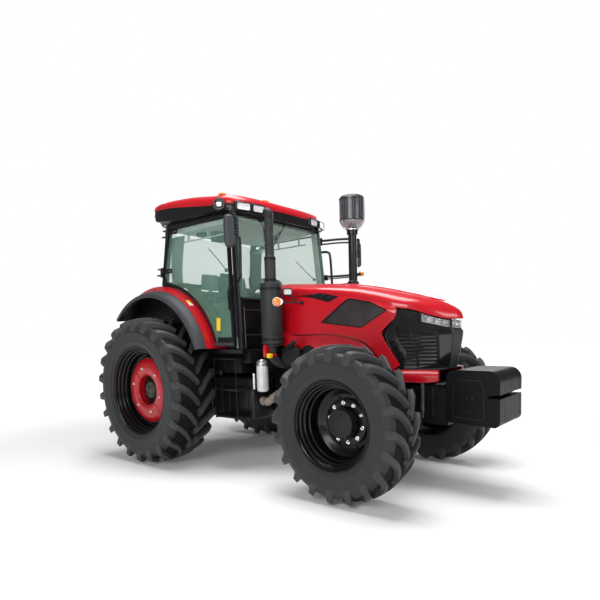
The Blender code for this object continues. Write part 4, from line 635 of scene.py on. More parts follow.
def rear_wheel(side):
    body = "wheel_rear_"
    centre = (0.0, REAR_TRACK / 2, REAR_Z)
    tyre(REAR_TYRE, centre, side, "rear_")
    rim = Shape(side)
    rim.lathe([
        (0.5300, 0.236), (0.5300, 0.242), (0.5262, 0.245), (0.5190, 0.245), (0.5145, 0.241), (0.5110, 0.231),
        (0.5030, 0.226), (0.5000, 0.222), (0.4970, 0.200), (0.4930, 0.194), (0.4830, 0.190), (0.4805, 0.186),
        (0.4780, 0.160), (0.4740, 0.155), (0.4650, 0.151), (0.4625, 0.147), (0.4600, 0.118), (0.4565, 0.113),
        (0.4475, 0.110), (0.4455, 0.106), (0.4440, 0.055), (0.4380, 0.046), (0.4200, 0.040), (0.4100, 0.044),
        (0.4000, 0.062), (0.3940, 0.068), (0.1900, 0.068), (0.1860, 0.064), (0.1860, 0.022), (0.1300, 0.020),
        (0.1180, 0.024), (0.0, 0.024), (0.0, -0.010), (0.3600, -0.010), (0.4300, 0.010), (0.4440, 0.000),
        (0.4440, -0.150), (0.4940, -0.206), (0.5050, -0.232), (0.5230, -0.245), (0.5300, -0.242),
        (0.5300, -0.236), (0.5040, -0.226), (0.5040, -0.202), (0.4540, -0.152), (0.4540, 0.100),
        (0.5040, 0.202), (0.5040, 0.226),
    ], centre, (0, 1, 0), steps=128)
    rim.bolt_ring(centre, 0.427, 0.0405, 8, 7.5, 0.020)
    rim.done("rear_rim_", RIM, body, angle=24, replaces="rim_rear_")

    red = Shape(side)
    seam, steps = 0.006, 48
    base, deep = 0.070, 0.116
    profile = [
        (0.190, base + GAP), (0.384, base + GAP), (0.384, 0.080), (0.380, 0.084), (0.336, deep - 0.003),
        (0.330, deep), (0.208, deep), (0.200, deep - 0.003), (0.190, deep - 0.014),
    ]
    for start in (-45, 135):
        rings = []
        for i in range(steps + 1):
            t = math.radians(start) + math.pi * i / steps
            pull = seam / 2 * (1 if i == 0 else -1 if i == steps else 0)
            rings.append([on_wheel(centre, r, t + pull / r, h) for r, h in profile])
        red.loft(rings)
    red.lathe([(0.1898, 0.104), (0.1898, 0.071), (0.1858, 0.0705), (0.1858, 0.026), (0.1820, 0.026), (0.1820, 0.104)],
              centre, (0, 1, 0), steps=72, ring=True)
    red.done("rear_centre_", DEEP_RED, body, angle=28, bevel=0.002, replaces="wheel_centre_rear_")

    bolts = Shape(side)
    bolts.bolt_ring(centre, 0.264, deep + 0.0005, 6, 45, 0.021)
    bolts.done("rear_centre_bolts_", SILVER, body)

    hub = Shape(side)
    teeth = 26
    hub.loft([
        [on_wheel(centre, (0.103 if k % 4 in (0, 1) else 0.092) - less, a, h) for k, a in enumerate(turns(teeth * 4))]
        for h, less in ((0.018, 0.0), (0.062, 0.0), (0.066, 0.004))
    ])
    hub.lathe([(0.0, 0.060), (0.0, 0.078), (0.030, 0.078), (0.036, 0.074), (0.040, 0.069), (0.080, 0.068),
               (0.084, 0.060)], centre, (0, 1, 0), steps=40)
    hub.bolt_ring(centre, 0.060, 0.0675, 4, 45, 0.014)
    hub.bolt_ring(centre, 0.155, 0.0215, 16, 0, 0.019)
    hub.done("rear_hub_", HUB, body)


def front_wheel(side):
    body = "wheel_front_"
    centre = (WHEELBASE, FRONT_TRACK / 2, FRONT_Z)
    tyre(FRONT_TYRE, centre, side, "front_")
    rim = Shape(side)
    rim.lathe([
        (0.4025, 0.190), (0.4025, 0.196), (0.3990, 0.199), (0.3920, 0.199), (0.3880, 0.195), (0.3850, 0.186),
        (0.3770, 0.181), (0.3740, 0.177), (0.3710, 0.158), (0.3670, 0.152), (0.3560, 0.148), (0.3530, 0.144),
        (0.3500, 0.120), (0.3460, 0.115), (0.3370, 0.111), (0.3340, 0.106), (0.3320, 0.070), (0.3290, 0.064),
        (0.3200, 0.060), (0.3170, 0.055), (0.3155, -0.030), (0.3080, -0.042), (0.2900, -0.052),
        (0.2600, -0.082), (0.2450, -0.088), (0.2160, -0.088), (0.2160, -0.104), (0.0, -0.104), (0.0, -0.160),
        (0.1640, -0.160), (0.1750, -0.104), (0.2300, -0.102), (0.3156, -0.056), (0.3160, -0.110),
        (0.3660, -0.158), (0.3780, -0.186), (0.3960, -0.199), (0.4025, -0.196), (0.4025, -0.190),
        (0.3755, -0.180), (0.3755, -0.156), (0.3260, -0.106), (0.3260, 0.050), (0.3755, 0.156),
        (0.3755, 0.180),
    ], centre, (0, 1, 0), steps=112)
    rim.bolt_ring(centre, 0.232, -0.0885, 8, 22.5, 0.016)
    rim.done("front_rim_", RIM, body, angle=24, replaces="rim_front_")

    flange = Shape(side)
    flange.lathe([
        (0.0, -0.100), (0.2150, -0.100), (0.2150, -0.064), (0.2120, -0.059), (0.2060, -0.0575),
        (0.1500, -0.0575), (0.1440, -0.050), (0.1400, -0.020), (0.0, -0.020),
    ], centre, (0, 1, 0), steps=80)
    flange.done("front_flange_", RIM, body, angle=28)
    cap = Shape(side)
    cap.lathe([
        (0.0, -0.030), (0.1340, -0.030), (0.1320, 0.028), (0.1300, 0.036), (0.1250, 0.0405), (0.1180, 0.042),
        (0.1150, 0.0405), (0.1120, 0.0405), (0.1090, 0.042), (0.0, 0.042),
    ], centre, (0, 1, 0), steps=80)
    for x, z, size in ((0.0, 0.060, 0.011), (-0.070, -0.052, 0.010)):
        cap.bolt((centre[0] + x, centre[1] + 0.0425, centre[2] + z), size, washer=False)
    cap.done("front_cap_", PLASTIC, body, angle=28)
    bolts = Shape(side)
    bolts.bolt_ring(centre, 0.178, -0.0570, 10, 25, 0.025)
    bolts.done("front_bolts_", CHROME, body)


# ---- Nodes of the model that keep their shape

KEPT = (
    (CAST, "transmission_case rear_axle_housing front_frame front_axle engine_block"),
    (CAST, "knuckle_left knuckle_right tie_rod"),
    (BLACK, "lift_arm_left lift_arm_right lift_rod_left lift_rod_right lower_link_left lower_link_right top_link"),
    (BLACK, "cab_floor"),
    (GLASS, "windshield rear_window"),
)


def dress():
    for look, names in KEPT:
        for name in names.split():
            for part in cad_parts[name].material_slots:
                part.material = look


# ---- Hood

NOSE_X = 3.491

# Along the hood: x, height of the ridge
RIDGE = [(1.445, 2.062), (1.80, 2.034), (2.23, 2.006), (2.56, 1.975), (2.84, 1.920), (3.05, 1.865), (3.20, 1.820),
         (3.32, 1.776), (3.41, 1.722), (3.465, 1.672), (NOSE_X, 1.622)]
# Along the top edge of the side, then the lip round to the nose: x, half width, height
EDGE = [(1.445, 0.444, 1.965), (1.80, 0.444, 1.948), (2.23, 0.440, 1.900), (2.56, 0.430, 1.848), (2.84, 0.422, 1.780),
        (3.019, 0.408, 1.722), (3.145, 0.356, 1.700), (3.269, 0.276, 1.652), (3.387, 0.160, 1.612),
        (3.462, 0.060, 1.606), (NOSE_X, 0.0, 1.606)]
# Half width of the hood's side below the edge
FLANK = [(1.445, 0.455), (2.23, 0.455), (2.66, 0.450), (2.90, 0.441), (3.01, 0.424), (3.08, 0.400), (3.144, 0.372),
         (3.22, 0.350), (3.302, 0.318), (3.40, 0.276), (3.46, 0.250)]
SIDE_WINDOW = [(2.165, 1.606), (2.490, 1.826), (2.530, 1.834), (2.758, 1.788), (2.935, 1.706), (2.925, 1.688),
               (2.672, 1.548), (2.640, 1.545), (2.426, 1.572)]
VENT = [(1.700, 1.880), (1.900, 1.952), (2.180, 1.905), (2.395, 1.858), (2.280, 1.806), (2.080, 1.858), (1.940, 1.884)]
SIDE_OUTLINE = [
    (1.480, 1.520), (1.640, 1.500), (1.914, 1.486), (2.212, 1.492), (2.448, 1.466), (2.600, 1.436), (2.700, 1.398),
    (2.780, 1.330), (2.880, 1.225), (2.985, 1.142), (3.050, 1.190), (3.013, 1.257), (2.909, 1.412), (2.880, 1.470),
    (2.884, 1.510), (3.000, 1.618), (3.020, 1.650),
]
# Middle line of the ribs in the vent; half width along the raised middle panel
RIB_LINE = [(1.70, 1.905), (1.90, 1.920), (2.18, 1.882), (2.39, 1.836)]
PANEL_WIDTH = [(1.52, 0.300), (2.00, 0.298), (2.614, 0.272), (2.929, 0.236), (3.10, 0.196), (3.22, 0.140),
               (3.285, 0.082), (3.311, 0.012)]


def section(x):
    """The hood's rounded section at x: half width, height of edge and ridge, power."""
    return (max(column(EDGE, x, 1), 0.0001), column(EDGE, x, 2), blend_table(RIDGE, x),
            2.7 - 0.7 * ease((x - 3.1) / 0.35))


def top_z(x, y):
    half, low, high, power = section(x)
    return low + (high - low) * (1 - min(abs(y) / half, 1.0)**power) ** (1 / power)


def flank_y(x, z):
    return blend_table(FLANK, x) - 0.012 * ease((z - 1.70) / 0.25) * ease((3.0 - x) / 0.5)


def on_flank(x, y, z):
    """Bend for a plate on the hood's side; y counts inward."""
    return x, flank_y(x, z) - y, z


def flank_to_edge(x, y, z):
    """The same, led over to the top's edge."""
    out = flank_y(x, z)
    edge = column(EDGE, x, 2)
    if z > edge - 0.05 and x < 3.03:
        out += (column(EDGE, x, 1) - out) * ease((z - edge + 0.05) / 0.05)
    return x, out - y, z


def hood():
    stations = [a[0] + (b[0] - a[0]) * k / 4 for a, b in zip(RIDGE, RIDGE[1:]) for k in range(4)]
    rows = []
    for x in stations + [3.484, NOSE_X - 0.0015]:
        half, low, high, power = section(x)
        row = []
        for k in range(-14, 15):
            t = math.pi / 2 * (1 - abs(k) / 14)
            y = half * math.cos(t) ** (2 / power)
            row.append((x, math.copysign(y, k) if k else 0.0, low + (high - low) * math.sin(t) ** (2 / power)))
        rows.append(row)
    shape = Shape()
    shape.sheet(rows, wall=0.012)
    # Raised middle panel, a shallow step that ends in a round before the nose
    rows = []
    for i in range(45):
        x = 1.50 + (3.313 - 1.50) * (1 - (1 - i / 44) ** 1.6)
        half = max(blend_table(PANEL_WIDTH, x), 0.010)
        row = []
        for k in range(-12, 13):
            y = k / 12 * half
            lift = (0.0085 if abs(k) < 11 else 0.0065 if abs(k) == 11 else -0.004) if 0 < i < 44 else -0.004
            row.append((x, y, top_z(x, y) + lift))
        rows.append(row)
    shape.sheet(rows, wall=0.006)
    outline = SIDE_OUTLINE + [(x, z + 0.001) for x, _, z in reversed(EDGE[:6])]
    for shape.side in SIDES:
        shape.plate(outline, 0.0, 0.012, holes=[SIDE_WINDOW, VENT], bend=flank_to_edge, cell=0.03)
    shape.done("hood_shell", RED, "hood", angle=38, replaces="hood")
    for side in SIDES:
        frames = Shape(side)
        frames.plate(SIDE_WINDOW, 0.004, 0.016, holes=[shrink(SIDE_WINDOW, 0.012)], bend=on_flank, cell=0.08)
        frames.plate(shrink(VENT, -0.001), 0.004, 0.018, bend=on_flank, cell=0.08)
        frames.done("hood_vent_", BLACK, "hood")
        ribs = Shape(side)
        for k in range(6):
            x = 1.815 + 0.095 * k
            z = blend_table(RIB_LINE, x)
            ribs.plate([(x - 0.030, z - 0.010), (x + 0.026, z + 0.006), (x + 0.030, z + 0.012), (x - 0.026, z - 0.003)],
                       0.000, 0.003, bend=on_flank)
        ribs.done("vent_ribs_", GREY, "hood")
        mesh = Shape(side)
        mesh.plate(shrink(SIDE_WINDOW, 0.010), 0.009, 0.0115, bend=on_flank, cell=0.03)
        mesh.done("hood_mesh_", MESH, "hood", replaces="hood_grille_")
        seam = Shape(side)
        seam.tube([(x, flank_y(x, z) - 0.004, z + 0.002) for x, z in SIDE_OUTLINE[1:9]], 0.0055, sides=8, fine=4)
        seam.done("hood_seam_", BLACK, "hood")


# ---- Nose: lamp strip and black mask

# Along the strip from its rear end to the nose: x, half width, top, bottom
STRIP = [(2.985, 0.418, 1.700, 1.628), (3.060, 0.388, 1.706, 1.606), (3.145, 0.340, 1.690, 1.584),
         (3.269, 0.262, 1.642, 1.552), (3.380, 0.152, 1.603, 1.520), (3.450, 0.060, 1.598, 1.500),
         (3.468, 0.0, 1.598, 1.496)]
# Mask from the top: height, rear x and half width, front x and half width, x of the tip
MASK = [
    (1.560, 2.935, 0.405, 3.395, 0.108, 3.440), (1.490, 2.895, 0.418, 3.440, 0.118, 3.485),
    (1.440, 2.905, 0.418, 3.440, 0.106, 3.484), (1.330, 2.968, 0.410, 3.425, 0.094, 3.466),
    (1.230, 3.010, 0.404, 3.408, 0.084, 3.448), (1.157, 3.020, 0.400, 3.392, 0.076, 3.430),
]
# Black plate just inside the hood's front, behind the gaps round the mask's side: painted shade standing in for the
# dark space under the hood. Outline in x and z.
SHADE_BACKING = [(2.640, 1.470), (2.720, 1.400), (2.800, 1.330), (2.900, 1.222), (2.985, 1.150), (3.080, 1.160),
           (3.100, 1.300), (3.020, 1.450), (3.010, 1.560), (3.040, 1.640), (2.990, 1.655), (2.700, 1.540)]
# Pieces of the strip: shares of its length, of its height, how far behind its face, steps
STRIP_BLACK = ((0.0, 1.0, 1.0, 0.0, 0.045, 0.075, 30), (0.0, 1.0, 0.18, -0.06, -0.004, 0.060, 30),
               (0.0, 0.17, 0.96, 0.10, 0.002, 0.050, 8), (0.0, 0.66, 0.02, -0.75, 0.014, 0.040, 18),
               (0.40, 0.425, 0.96, 0.1, 0.004, 0.050, 3), (0.73, 0.755, 0.96, 0.1, 0.004, 0.050, 3))
STRIP_GLASS = ((0.43, 0.725, 0.95, 0.20, 0.000, 0.004, 12), (0.76, 1.0, 0.95, 0.20, 0.000, 0.004, 12))


def along(table, t):
    """Smooth row of a table of columns at t from 0 to 1."""
    spot = t * (len(table) - 1)
    return [blend_table([(i, row[c]) for i, row in enumerate(table)], spot) for c in range(len(table[0]))]


def strip_piece(shape, start, end, top, bottom, near, far, count):
    for shape.side in SIDES:
        rings = []
        for i in range(count + 1):
            t = start + (end - start) * i / count
            x, y, high, low = along(STRIP, t)
            x2, y2 = along(STRIP, min(t + 0.02, 1.0))[:2]
            x1, y1 = along(STRIP, max(t - 0.02, 0.0))[:2]
            way = Vector((x2 - x1, y2 - y1)).normalized()
            z1, z0 = low + (high - low) * top, low + (high - low) * bottom
            rings.append([(x - abs(way.y) * back, max(y - abs(way.x) * back, 0.0), z)
                          for back, z in ((near, z1), (near, z0), (far, z0), (far, z1))])
        shape.loft(rings)


def mask_side(z, t):
    """Place on the mask's side at a height, t from its rear to its nose."""
    rear, rear_y, front, front_y = [column(MASK[::-1], z, c) for c in (1, 2, 3, 4)]
    return rear + (front - rear) * t, rear_y + (front_y - rear_y) * t + 0.030 * math.sin(math.pi * t)


def behind_mask(x, y, z):
    return x, min(flank_y(x, z), 0.430) - 0.020 - y, z


def nose():
    back, bright, glass, smoked = Shape(), Shape(), Shape(), Shape()
    for piece in STRIP_BLACK:
        strip_piece(back, *piece)
    back.done("lamp_strip", GLOSS, "hood", replaces="headlight_band", bevel=0.003)
    strip_piece(bright, 0.44, 0.98, 0.30, 0.25, 0.006, 0.044, 18)
    for bright.side in SIDES:
        for t, size in ((0.52, 0.026), (0.60, 0.026), (0.68, 0.024), (0.83, 0.032)):
            x, y, high, low = along(STRIP, t)
            x2, y2 = along(STRIP, t + 0.03)[:2]
            way = Vector((x2 - x, y2 - y)).normalized()
            out = Vector((abs(way.y), abs(way.x), 0))
            bright.lathe([(0.0, 0.0), (size * 0.5, 0.004), (size, 0.024), (size + 0.002, 0.024),
                          (size + 0.002, -0.004), (0.0, -0.004)],
                         Vector((x, y, (low + high) / 2 + 0.008)) - out * 0.040, out, steps=24)
    bright.done("lamp_reflectors", STEEL, "hood")
    for piece in STRIP_GLASS:
        strip_piece(glass, *piece)
    glass.done("lamp_glass", BOWL, "hood")
    strip_piece(smoked, 0.18, 0.395, 0.95, 0.20, 0.000, 0.004, 12)
    smoked.done("lamp_cover", DARK_GLASS, "hood")

    shell = Shape()
    for shell.side in SIDES:
        shell.sheet([[(x, y - 0.016, row[0]) for x, y in (mask_side(row[0], k / 10) for k in range(11))]
                     for row in MASK], wall=0.012)
        # Black plate behind the gaps round the mask's side: painted shade for the dark space under the hood.
        shell.plate(SHADE_BACKING, 0.0, 0.006, bend=behind_mask, cell=0.06)
    # Middle piece between the two sides, and the plate under the mask
    shell.slot = 1
    rings = []
    for z, _, _, x, y, tip in MASK:
        half = [(x - 0.05, y + 0.006, z), (x + 0.004, y + 0.004, z), (tip - 0.012, 0.035, z)]
        rings.append(half + [(tip, 0.0, z)] + [(a, -b, c) for a, b, c in reversed(half)])
    shell.loft(rings)
    shell.plate([(3.020, -0.385), (3.240, -0.315), (3.400, -0.250), (3.400, 0.250), (3.240, 0.315), (3.020, 0.385)],
                1.148, 1.154, level=True)
    shell.done("mask", (GLOSS, SLAT), "hood", replaces="nose_mask", bevel=0.004)
    slats = Shape()
    for slats.side in SIDES:
        for j in range(9):
            z = 1.195 + 0.034 * j
            rings = []
            for k in range(13):
                x, y = mask_side(z, 0.10 + 0.66 * k / 12)
                rings.append([(x, y - 0.008, z - 0.008), (x, y - 0.002, z - 0.012), (x, y + 0.006, z - 0.004),
                              (x, y - 0.002, z + 0.006)])
            slats.loft(rings)
        # Vertical rib and the rim round the louvres
        for t, wide in ((0.42, 0.008), (0.10, 0.010), (0.78, 0.012)):
            rings = []
            for j in range(9):
                z = 1.170 + 0.325 * j / 8
                x, y = mask_side(z, t)
                rings.append([(x - wide, y - 0.011, z), (x - wide, y + 0.007, z), (x + wide, y + 0.003, z),
                              (x + wide, y - 0.015, z)])
            slats.loft(rings)
    slats.done("mask_louvres", BLACK, "hood")


# ---- Lower side panels

PANEL_LOW = [
    (1.560, 1.500), (1.585, 1.400), (1.690, 1.372), (1.820, 1.345), (2.200, 1.335), (2.470, 1.322), (2.620, 1.280),
    (2.740, 1.220), (2.860, 1.138), (2.960, 1.072), (3.010, 1.048), (2.995, 1.126), (2.976, 1.131), (2.872, 1.216),
    (2.774, 1.320), (2.690, 1.388), (2.600, 1.426), (2.448, 1.466), (2.212, 1.492), (1.914, 1.500), (1.800, 1.540),
    (1.640, 1.560),
]
# Strip under the mask: x, half width, bottom, top
LOW_STRIP = [(2.900, 0.437, 1.105, 1.164), (2.960, 0.430, 1.070, 1.150), (3.010, 0.424, 1.048, 1.146),
             (3.080, 0.400, 1.035, 1.146), (3.150, 0.372, 1.031, 1.146), (3.230, 0.348, 1.029, 1.146),
             (3.310, 0.318, 1.031, 1.145), (3.375, 0.290, 1.040, 1.140)]


def flared(x, y, z):
    flare = 0.050 * ease((1.90 - x) / 0.25) * ease((1.60 - z) / 0.16)
    out = 0.434 + (flank_y(x, z) - 0.001 - 0.434) * ease((x - 2.62) / 0.20)
    return x, out - y + flare, z


def lower_sides():
    for side in SIDES:
        shape = Shape(side)
        shape.plate(PANEL_LOW, 0.0, 0.010, bend=flared, cell=0.04)
        shape.loft([[(x, y - inward, z) for inward, z in (
            (0.034, low + 0.002), (0.010, low), (0.001, low + 0.012), (-0.003, (low + high) / 2), (0.001, high - 0.012),
            (0.010, high), (0.034, high - 0.002))] for x, y, low, high in LOW_STRIP])
        shape.boxes(0.003, ((2.380, 0.422, 0.930), (2.440, 0.434, 1.350)),
                    ((2.380, 0.251, 0.930), (2.440, 0.430, 0.960)))
        shape.done("lower_panel_", RED, replaces="side_panel_")


# ---- Fenders: arcs beside the wheel, each with its half width, centre x and z, and radius

ARC_LIP = (1.050, 0.020, 1.045, 0.960)
ARC_STEP = (0.940, 0.060, 1.110, 0.930)
ARC_TOP = (0.820, -0.060, 1.034, 1.080)
ARC_INNER = (0.6555, *ARC_TOP[1:])
FENDER_FRONT_Z, FENDER_REAR_Z = 1.362, 1.732
# Sections of the fender: for each point its share of the way between two arcs, and its lift
TOP, STEP, IN = (ARC_TOP, ARC_STEP), (ARC_STEP, ARC_LIP), (ARC_INNER, ARC_TOP)
RED_BAND = [
    (IN, 0.0, 0.0), (IN, 0.95, 0.0), (TOP, 0.0, 0.000), (TOP, 0.12, 0.004), (TOP, 0.5, 0.008), (TOP, 0.98, 0.004),
    (TOP, 0.98, -0.016), (TOP, 0.5, -0.010), (TOP, 0.0, -0.018), (IN, 0.0, -0.018),
]
LIP_BAND = [
    (TOP, 0.985, 0.002), (STEP, 0.06, 0.010), (STEP, 0.30, 0.014), (STEP, 0.70, 0.012), (STEP, 0.94, 0.004),
    (STEP, 1.0, -0.006), (STEP, 1.0, -0.040), (STEP, 0.95, -0.040), (STEP, 0.93, -0.012), (STEP, 0.60, -0.004),
    (STEP, 0.10, -0.006), (TOP, 0.985, -0.014),
]
LINING_BAND = [
    (IN, 0.0, -0.0190), (IN, 0.95, -0.0190), (TOP, 0.5, -0.019), (STEP, 0.15, -0.017), (STEP, 0.86, -0.016),
    (STEP, 0.88, -0.034), (STEP, 0.15, -0.028), (TOP, 0.5, -0.034), (IN, 0.95, -0.032), (IN, 0.0, -0.032),
]


def arc_at(line, share, more=0.0):
    y, cx, cz, radius = line
    start = math.asin((FENDER_FRONT_Z - cz) / radius)
    end = math.pi - math.asin((FENDER_REAR_Z - cz) / radius)
    turn = start + (end - start) * share
    return Vector((cx + (radius + more) * math.cos(turn), y, cz + (radius + more) * math.sin(turn)))


def between_arcs(arcs, share, mix, more=0.0):
    return arc_at(arcs[0], share, more).lerp(arc_at(arcs[1], share, more), mix)


def from_arch(spot, y=0.0):
    """Direction at a place on the fender, out from the arch's middle."""
    return Vector((spot.x - ARC_TOP[1], y, spot.z - ARC_TOP[2])).normalized()


def fender(side):
    def band(points, steps=56):
        shape = Shape(side)
        shape.loft([[between_arcs(arcs, i / steps, mix, more) for arcs, mix, more in points] for i in range(steps + 1)])
        return shape

    band(RED_BAND).done("fender_red_", RED, angle=40, replaces="fender_")
    band(LIP_BAND).done("fender_lip_", LIP, angle=40)
    lining = band(LINING_BAND)
    for share in (0.16, 0.30, 0.44, 0.58, 0.72, 0.86):
        rings = []
        for k in range(7):
            spot = arc_at(ARC_INNER, share, -0.030).lerp(arc_at(ARC_LIP, share, -0.036), 0.12 + 0.12 * k)
            out = from_arch(spot)
            away = Vector((-out.z, 0, out.x))
            rings.append([spot + away * a + out * b
                          for a, b in ((-0.016, 0.0), (-0.008, -0.016), (0.008, -0.016), (0.016, 0.0))])
        lining.loft(rings)
    middle = ARC_TOP[1:3]
    lining.plate(arc(middle, 1.058, 62, 141, 30) + arc(middle, 0.640, 141, 62, 30), 0.657, 0.667)
    lining.done("arch_lining_", CAST, angle=40)
    small = Shape(side)
    for share in (0.04, 0.20, 0.40, 0.62, 0.84, 0.96):
        spot = between_arcs(TOP, share, 0.70, 0.003)
        small.bolt(spot, 0.012, from_arch(spot, 0.5))
    small.done("fender_bolts_", PLASTIC)


# ---- Cab

SILL_Z, CAB_TOP_Z = 1.385, 2.830
POST_Z = (1.352, 2.130, 2.838)
DOOR_REACH = ARC_TOP[3] + 0.030


def side_y(z):
    return 0.800 - 0.065 * (z - SILL_Z) / (CAB_TOP_Z - SILL_Z)


def front_x(z):
    return 1.372 - 0.110 * (z - SILL_Z) / (CAB_TOP_Z - SILL_Z)


def on_cab(x, y, z):
    """Bend for a plate drawn in x and z that lies on the cab's side; y counts inward."""
    return x, side_y(z) - y, z


def door_line(gap):
    """Outline of a door drawn in by gap: the arc over the fender, sill, front, top and rear edge."""
    reach = DOOR_REACH + gap
    low = math.degrees(math.asin((SILL_Z + gap - ARC_TOP[2]) / reach))
    points = arc(ARC_TOP[1:3], reach, 82, low, 26)
    points += [(front_x(SILL_Z) - 0.070 - gap, SILL_Z + gap), (front_x(2.78) - 0.070 - gap, 2.775 - gap)]
    return points + [(0.250 + gap, 2.775 - gap), (0.145 + gap, 2.720 - gap), (0.035 + gap, 2.230)]


def cab():
    posts = Shape()
    low, sill, top = POST_Z
    for posts.side in SIDES:
        # Front post, a flat outer face and a rounded edge toward the windscreen
        rings = []
        for i in range(9):
            z = low + (top - low) * i / 8
            x, y = front_x(z), side_y(z)
            rings.append([(x - 0.060, y, z), (x - 0.012, y, z), (x, y - 0.012, z), (x, y - 0.060, z),
                          (x - 0.060, y - 0.060, z)])
        posts.loft(rings)
        rings = []
        for i in range(7):
            z = sill + (top - sill) * i / 6
            x = -0.020 + 0.100 * i / 6
            rings.append(slab(x - 0.030, x + 0.030, side_y(z), side_y(z) - 0.060, z))
        posts.loft(rings)
        posts.box((0.048, 0.677, 2.785), (1.232, 0.733, 2.839), edge=0.006)
    posts.boxes(0.006, ((0.053, -0.710, 2.785), (0.103, 0.710, 2.839)), ((1.204, -0.710, 2.785), (1.258, 0.710, 2.839)),
                ((-0.045, -0.770, 2.1145), (0.010, 0.770, 2.172)))
    posts.done("cab_posts", BLACK, replaces="cab_frame", bevel=0.004)
    for side in SIDES:
        door = Shape(side)
        door.plate(door_line(0.0), -0.034, -0.012, holes=[door_line(0.018)], bend=on_cab, cell=0.12)
        door.plate([(1.030, 1.400), (1.285, 1.400), (1.280, 1.480), (1.010, 1.480)], -0.030, -0.006, bend=on_cab,
                   cell=0.12)
        front = [(front_x(z) - 0.070, z) for z in (1.385, 2.775)] + [(front_x(z) - 0.112, z) for z in (2.775, 1.385)]
        door.plate(front, -0.034, -0.010, bend=on_cab, cell=0.12)
        door.plate([(1.203, 1.770), (1.273, 1.770), (1.262, 2.030), (1.205, 2.030)], -0.040, -0.010, bend=on_cab,
                   cell=0.1)
        y = side_y(1.9) + 0.062
        door.tube([(1.236, y - 0.030, 1.800), (1.236, y, 1.825), (1.236, y, 1.975), (1.236, y - 0.030, 2.000)], 0.011,
                  fine=5)
        door.done("door_frame_", BLACK, "door_", replaces="door_")
        glass = Shape(side)
        glass.plate(door_line(0.012), -0.026, -0.020, bend=on_cab, cell=0.15)
        glass.done("door_glass_", GLASS, "door_")


# ---- Roof

ROOF_MIDDLE = 0.596
# Half of the plan from the middle of the front to the middle of the rear
ROOF_PLAN = [(1.376, 0.0), (1.374, 0.20), (1.366, 0.38), (1.346, 0.54), (1.306, 0.68), (1.235, 0.775), (1.120, 0.815),
             (0.980, 0.820), (0.500, 0.820), (0.060, 0.820), (-0.070, 0.800), (-0.145, 0.730), (-0.175, 0.600),
             (-0.184, 0.400), (-0.184, 0.0)]
# Along the roof: x, lower edge of the skirt, boundary of skirt and shell, top at the side
ROOF_LEVELS = [(-0.184, 2.925, 3.012, 3.088), (-0.080, 2.895, 3.014, 3.094), (0.05, 2.868, 3.010, 3.096),
               (0.28, 2.846, 2.998, 3.096), (0.60, 2.843, 2.956, 3.074), (0.84, 2.844, 2.924, 3.044),
               (1.00, 2.842, 2.906, 3.020), (1.20, 2.822, 2.898, 3.008), (1.30, 2.796, 2.892, 2.994),
               (1.376, 2.780, 2.886, 2.976)]

# Rings from below upward: how far in from the plan, share of the lower levels and of the upper ones
SKIRT_RINGS = ((0.040, 0.0, 0.006), (0.022, 0.0, 0.0), (0.006, 0.0, 0.010), (0.000, 0.6, 0.0), (0.005, 1.0, -0.0005))
SHELL_RINGS = (
    (0.016, 0.0, 0.0), (0.003, 0.0, 0.0), (0.000, 0.14, 0.0), (0.003, 0.42, 0.0), (0.014, 0.68, 0.0),
    (0.034, 0.86, 0.0),
    (0.062, 0.95, 0.0), (0.105, 1.0, 0.0), (0.118, 1.0, -0.004), (0.130, 1.0, 0.002), (0.260, 1.0, 0.005),
    (0.440, 1.0, 0.006), (0.640, 1.0, 0.007),
)


def roof_ring(inset, level):
    """The roof's plan drawn in, at a height given by its place along the roof."""
    half = curve_through([(x, y, 0) for x, y in ROOF_PLAN], 4)
    whole = [(p.x, p.y) for p in half] + [(p.x, -p.y) for p in reversed(half[1:-1])]
    ring = []
    for x, y in whole:
        dx = x - ROOF_MIDDLE
        px = ROOF_MIDDLE + math.copysign(max(abs(dx) - inset, 0.0), dx)
        ring.append((px, math.copysign(max(abs(y) - inset, 0.0), y), level(px)))
    return ring


def roof_level(place, share, more=0.0):
    """Height along the roof, share of the way from one column of ROOF_LEVELS to the next."""
    def level(x):
        low, high = column(ROOF_LEVELS, x, place), column(ROOF_LEVELS, x, place + 1)
        return low + (high - low) * share + more
    return level


def roof():
    skirt = Shape()
    skirt.loft([roof_ring(0.120, lambda x: 2.8405), roof_ring(0.060, lambda x: 2.8420)]
               + [roof_ring(inset, roof_level(1, share, more)) for inset, share, more in SKIRT_RINGS])
    skirt.done("roof_skirt_shell", BLACK, replaces="roof_skirt", angle=34)
    shell = Shape()
    shell.loft([roof_ring(inset, roof_level(2, share, more)) for inset, share, more in SHELL_RINGS])
    shell.done("roof_cover", RED, replaces="roof_shell", angle=30)
    trim = Shape()
    for trim.side in SIDES:
        # Seam across the side of the shell
        trim.tube([(0.055, 0.8215 - inward, roof_level(2, share)(0.055)) for inward, share in
                   ((0.0, 0.02), (0.002, 0.3), (0.006, 0.5), (0.018, 0.72), (0.036, 0.88), (0.062, 0.96))],
                  0.0022, sides=6, fine=2)
    trim.done("roof_seams", DARK_TRIM)


